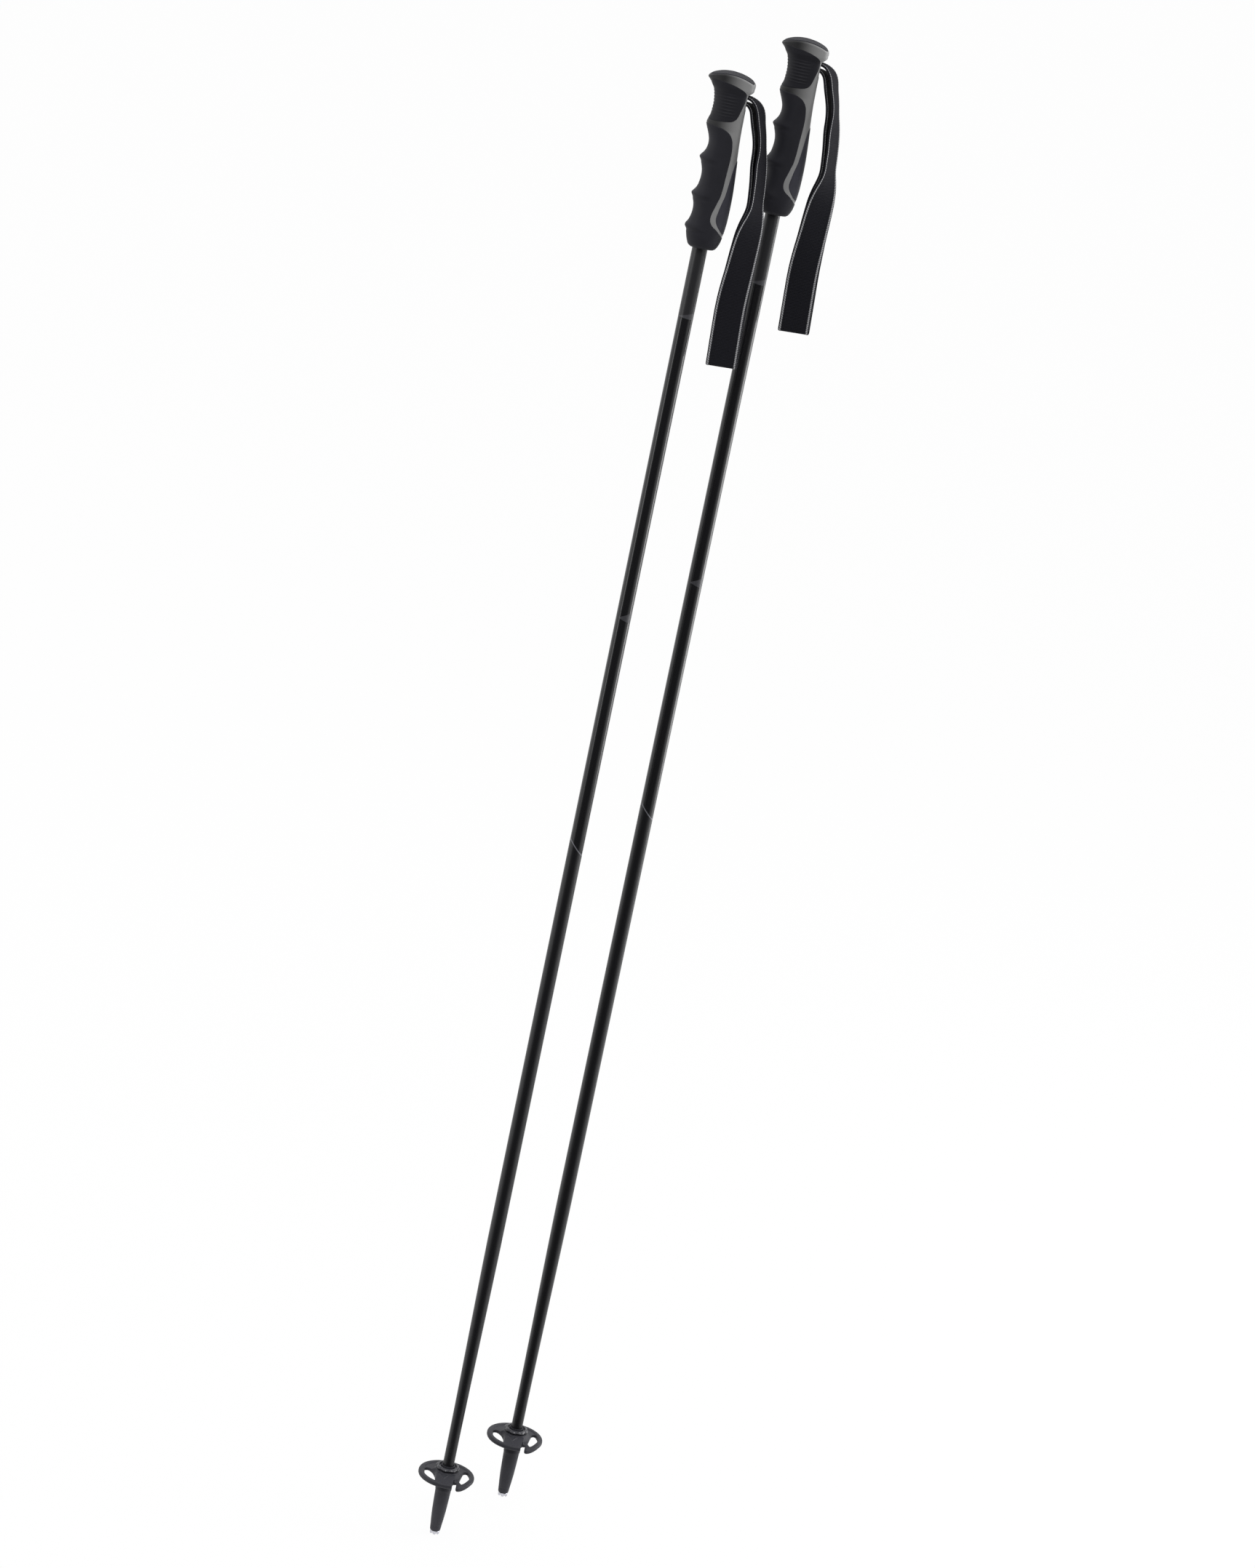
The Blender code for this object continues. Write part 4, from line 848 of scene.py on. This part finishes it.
def basketMesh():
    # the turned dish with its sloping front joined on and windows and slit cut out, softened as one moulding
    dish = revolve("dish", basket["outline"], basket["steps"])
    gusset = prism("gusset", basket["gusset"], basket["gussetHalf"])
    gusset.transform(Matrix.Rotation(math.pi / 2, 4, "Z"))
    arms = [rod("veeArm", start, end, basket["veeRadius"]) for start, end in basket["veeArms"]]
    windows = [standing(key, roundedOutline(basket[key], basket["cornerRadius"]), *basket["windowCut"])
               for key in ("leftWindow", "rightWindow")]
    slit = standing("slit", basket["slit"], *basket["slitCut"])
    (low, high), radius = basket["boreCut"], basket["bore"]
    bore = revolve("bore", [(0, low), (radius, low), (radius, high), (0, high)], basket["steps"])
    mesh = shaped(dish, [*[joinOn(added) for added in (gusset, *arms)],
                         *[cutAway(cutter) for cutter in (*windows, slit, bore)],
                         ("REMESH", {"mode": "VOXEL", "voxel_size": basket["voxel"] * mm}),
                         ("SMOOTH", {"factor": basket["smoothFactor"], "iterations": basket["smoothing"]})])
    hangFreeEnd(mesh)
    return mesh


basketLook = grainedLook("basketPlastic", {**plastic, "dark": 0.030, "light": 0.041})[0]
placeOnPoles("Basket", basketMesh(), "basket", basketLook, ["basket"], crease=70)


collar = {
    # (radius, height) round the ring's section
    "outline": [(6.3, 62.6), (8.3, 62.6), (8.4, 63.6), (10.1, 63.8), (10.6, 64.05), (10.7, 64.5),
                (10.0, 65.6), (9.5, 65.95), (8.8, 66.0), (8.0, 66.0), (7.7, 65.7), (7.6, 64.4),
                (6.3, 64.4)],
    "scallops": 8, "firstScallop": 12, "wavePower": 1.4, "bite": 1.1, "biteFrom": (8.6, 10.2), "steps": 192,
    "dark": 0.032, "light": 0.043, "rough": 0.3, "shine": 0.5,
}


def collarMesh():
    # a turned ring whose outer part is drawn in by a bite times a power of a raised cosine round it
    r, z = np.array(collar["outline"], float).T
    a = fullTurn(collar["steps"])
    turns = collar["scallops"] * (a - math.radians(collar["firstScallop"]))
    wave = (0.5 + 0.5 * np.cos(turns)) ** collar["wavePower"]
    radius = r[:, None] - collar["bite"] * ease(r, *collar["biteFrom"])[:, None] * wave
    points = np.stack((radius * np.cos(a), radius * np.sin(a), np.repeat(z[:, None], len(a), 1)), axis=-1)
    return makeMesh("collar", points.reshape(-1, 3), gridFaces(len(r), len(a), True, True))


collarLook = grainedLook("collarPlastic", {**plastic, **collar})[0]
placeOnPoles("BasketRing", collarMesh(), "pole", collarLook, ["basket_ring"])


tip = {
    "radius": 4.2, "height": 3.0, "land": 1.3, "hollow": 1.6, "stem": 2.5, "stemTop": 14.0, "steps": 144,
    "teeth": 6, "notch": 1.1, "notchFlank": (0.0, 0.45), "toothEdge": 0.15, "bevel": 0.2,
    "hollowLip": 0.45, "lipShare": 0.6,
    # steel with faint patches and slight grain
    "fineness": 2.0, "patches": 0.8, "dark": 0.5, "light": 0.66, "blue": 0.08, "rough": 0.26, "shine": 0.5,
    "bump": 0.06,
}


def tipMesh():
    # rings from the hollow's middle out to the crown's teeth, up its wall and in to the stem; the teeth's
    # lower edge rises by the notch depth where a cosine round the rim says so
    a = fullTurn(tip["steps"])
    gap = ease(np.cos(tip["teeth"] * a), *tip["notchFlank"]) * tip["notch"]
    outer, inner = tip["radius"], tip["radius"] - tip["land"]
    top, edge, bevel = tip["height"], tip["toothEdge"], tip["bevel"]
    # each ring as (radius, height, share of the notch)
    rings = [(0, tip["hollow"], 0), (inner, tip["hollowLip"], tip["lipShare"]), (inner + edge, 0, 1),
             (outer - edge, 0, 1), (outer, bevel, 1), (outer, top - bevel, 0), (outer - bevel, top, 0),
             (tip["stem"], top, 0), (tip["stem"], tip["stemTop"], 0), (0, tip["stemTop"], 0)]
    rows = [np.stack((r * np.cos(a), r * np.sin(a), z + share * gap), axis=-1) for r, z, share in rings]
    return makeMesh("tip", np.array(rows).reshape(-1, 3), gridFaces(len(rows), len(a), True), merge=True)


tipLook, tree, shader, place = grainedLook("crownSteel", tip)
fill(tree, shader, {"Metallic": 1.0})
placeOnPoles("Tip", tipMesh(), "pole", tipLook, ["tip"])


# the pins stay as they are in the frame, in brighter steel; their patches are per metre
pinSteel = {"patches": 400.0, "dark": 0.5, "light": 0.66, "rough": 0.3}
pinLook = bpy.data.materials.new("pinSteel")
pinLook.use_nodes = True
tree = pinLook.node_tree
place = addNode(tree, "ShaderNodeTexCoord").outputs["Object"]
patches = fillGroup(tree, grainGroup, {"Place": place, "Patches": pinSteel["patches"]})["Mottle"]
tone = toneMix(tree, patches, rgb(pinSteel["dark"]), rgb(pinSteel["light"]))
fill(tree, tree.nodes["Principled BSDF"],
     {"Base Color": tone, "Metallic": 1.0, "Roughness": pinSteel["rough"]})
for side in sides:
    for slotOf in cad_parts[f"{side}_strap_pin"].material_slots:
        slotOf.material = pinLook
print("foot pieces and pins done")


# floor, sky, lamps and camera, in metres
stage = {
    "floor": ((-14, -0.12), (14, 30)), "floorGlow": 0.95, "floorTone": 0.8,
    # sky: plain all round, dark low down in front so that the shafts keep their dark middles
    "sky": 0.95, "skyFront": 0.05, "frontFrom": (0.25, 0.8), "lowFrom": (0.75, 0.25),
    # softboxes as (name, place, size, watts, aim)
    "lamps": [("leftBox", (-2.3, -1.25, 1.2), (0.45, 2.4), 8.0, (0, 0, 1.2)),
              ("rightBox", (2.35, 0.85, 1.2), (1.5, 2.4), 42.0, (0, 0, 1.2)),
              ("keyBox", (0.4, -4.4, 5.0), (3.0, 2.4), 130.0, (0, 0, 0.7))],
    # camera fitted to the photograph; it looks down by the pitch, and the angles are degrees
    "camera": (-0.012375, -3.4082, 1.6575), "yaw": 0.091, "pitch": 15.667, "roll": 11.823, "lens": 96.887,
    "sensor": 36,
}

(x0, y0), (x1, y1) = stage["floor"]
floorMesh = bpy.data.meshes.new("floor")
floorMesh.from_pydata([(x0, y0, 0), (x1, y0, 0), (x1, y1, 0), (x0, y1, 0)], [], [(0, 1, 2, 3)])
floor = bpy.data.objects.new("floor", floorMesh)
bpy.context.collection.objects.link(floor)
floorLook = bpy.data.materials.new("paleFloor")
floorLook.use_nodes = True
tree = floorLook.node_tree
tree.nodes.remove(tree.nodes["Principled BSDF"])
paper = addNode(tree, "ShaderNodeBsdfDiffuse", {"Color": rgb(stage["floorTone"])})
glow = addNode(tree, "ShaderNodeEmission", {"Color": rgb(1.0), "Strength": 1.0})
# seen directly or in a reflection the floor is nearly white, and for other rays it is plain paper
rays = addNode(tree, "ShaderNodeLightPath").outputs
seen = maths(tree, "MAXIMUM", rays["Is Camera Ray"], rays["Is Glossy Ray"])
seen = maths(tree, "MAXIMUM", seen, rays["Is Transmission Ray"])
part = maths(tree, "MULTIPLY", seen, stage["floorGlow"])
both = addNode(tree, "ShaderNodeMixShader", {0: part, 1: paper.outputs[0], 2: glow.outputs[0]})
tree.links.new(both.outputs[0], tree.nodes["Material Output"].inputs["Surface"])
floorMesh.materials.append(floorLook)

world = bpy.data.worlds.new("studio")
world.use_nodes = True
tree = world.node_tree
sky = tree.nodes["Background"]
compass = addNode(tree, "ShaderNodeTexCoord").outputs["Generated"]
way = addNode(tree, "ShaderNodeSeparateXYZ", {"Vector": compass}).outputs
front = smoothRange(tree, maths(tree, "MULTIPLY", way["Y"], -1.0), stage["frontFrom"])
dim = maths(tree, "MULTIPLY", front, smoothRange(tree, way["Z"], stage["lowFrom"]))
allRound = toneMix(tree, dim, rgb(stage["sky"]), rgb(stage["skyFront"]))
seen = addNode(tree, "ShaderNodeLightPath").outputs["Is Camera Ray"]
tree.links.new(toneMix(tree, seen, allRound, rgb(1.0)), sky.inputs["Color"])
bpy.context.scene.world = world

for name, where, size, power, aim in stage["lamps"]:
    lamp = bpy.data.lights.new(name, "AREA")
    lamp.shape = "RECTANGLE"
    lamp.size, lamp.size_y = size
    lamp.energy = power
    box = bpy.data.objects.new(name, lamp)
    bpy.context.collection.objects.link(box)
    box.location = where
    box.rotation_euler = (Vector(aim) - Vector(where)).to_track_quat("-Z", "Y").to_euler()

yaw, pitch, roll = (math.radians(stage[key]) for key in ("yaw", "pitch", "roll"))
ahead = Vector((math.sin(yaw) * math.cos(pitch), math.cos(yaw) * math.cos(pitch), -math.sin(pitch)))
level = ahead.cross(Vector((0, 0, 1))).normalized()
above = level.cross(ahead)
right = level * math.cos(roll) + above * math.sin(roll)
up = above * math.cos(roll) - level * math.sin(roll)
turn = Matrix((right, up, -ahead)).transposed().to_4x4()
lensData = bpy.data.cameras.new("camera")
lensData.lens = stage["lens"]
lensData.sensor_width = stage["sensor"]
camera = bpy.data.objects.new("camera", lensData)
bpy.context.collection.objects.link(camera)
camera.matrix_world = Matrix.Translation(stage["camera"]) @ turn
bpy.context.scene.camera = camera
bpy.context.scene.view_settings.view_transform = "Standard"
print("stage done")
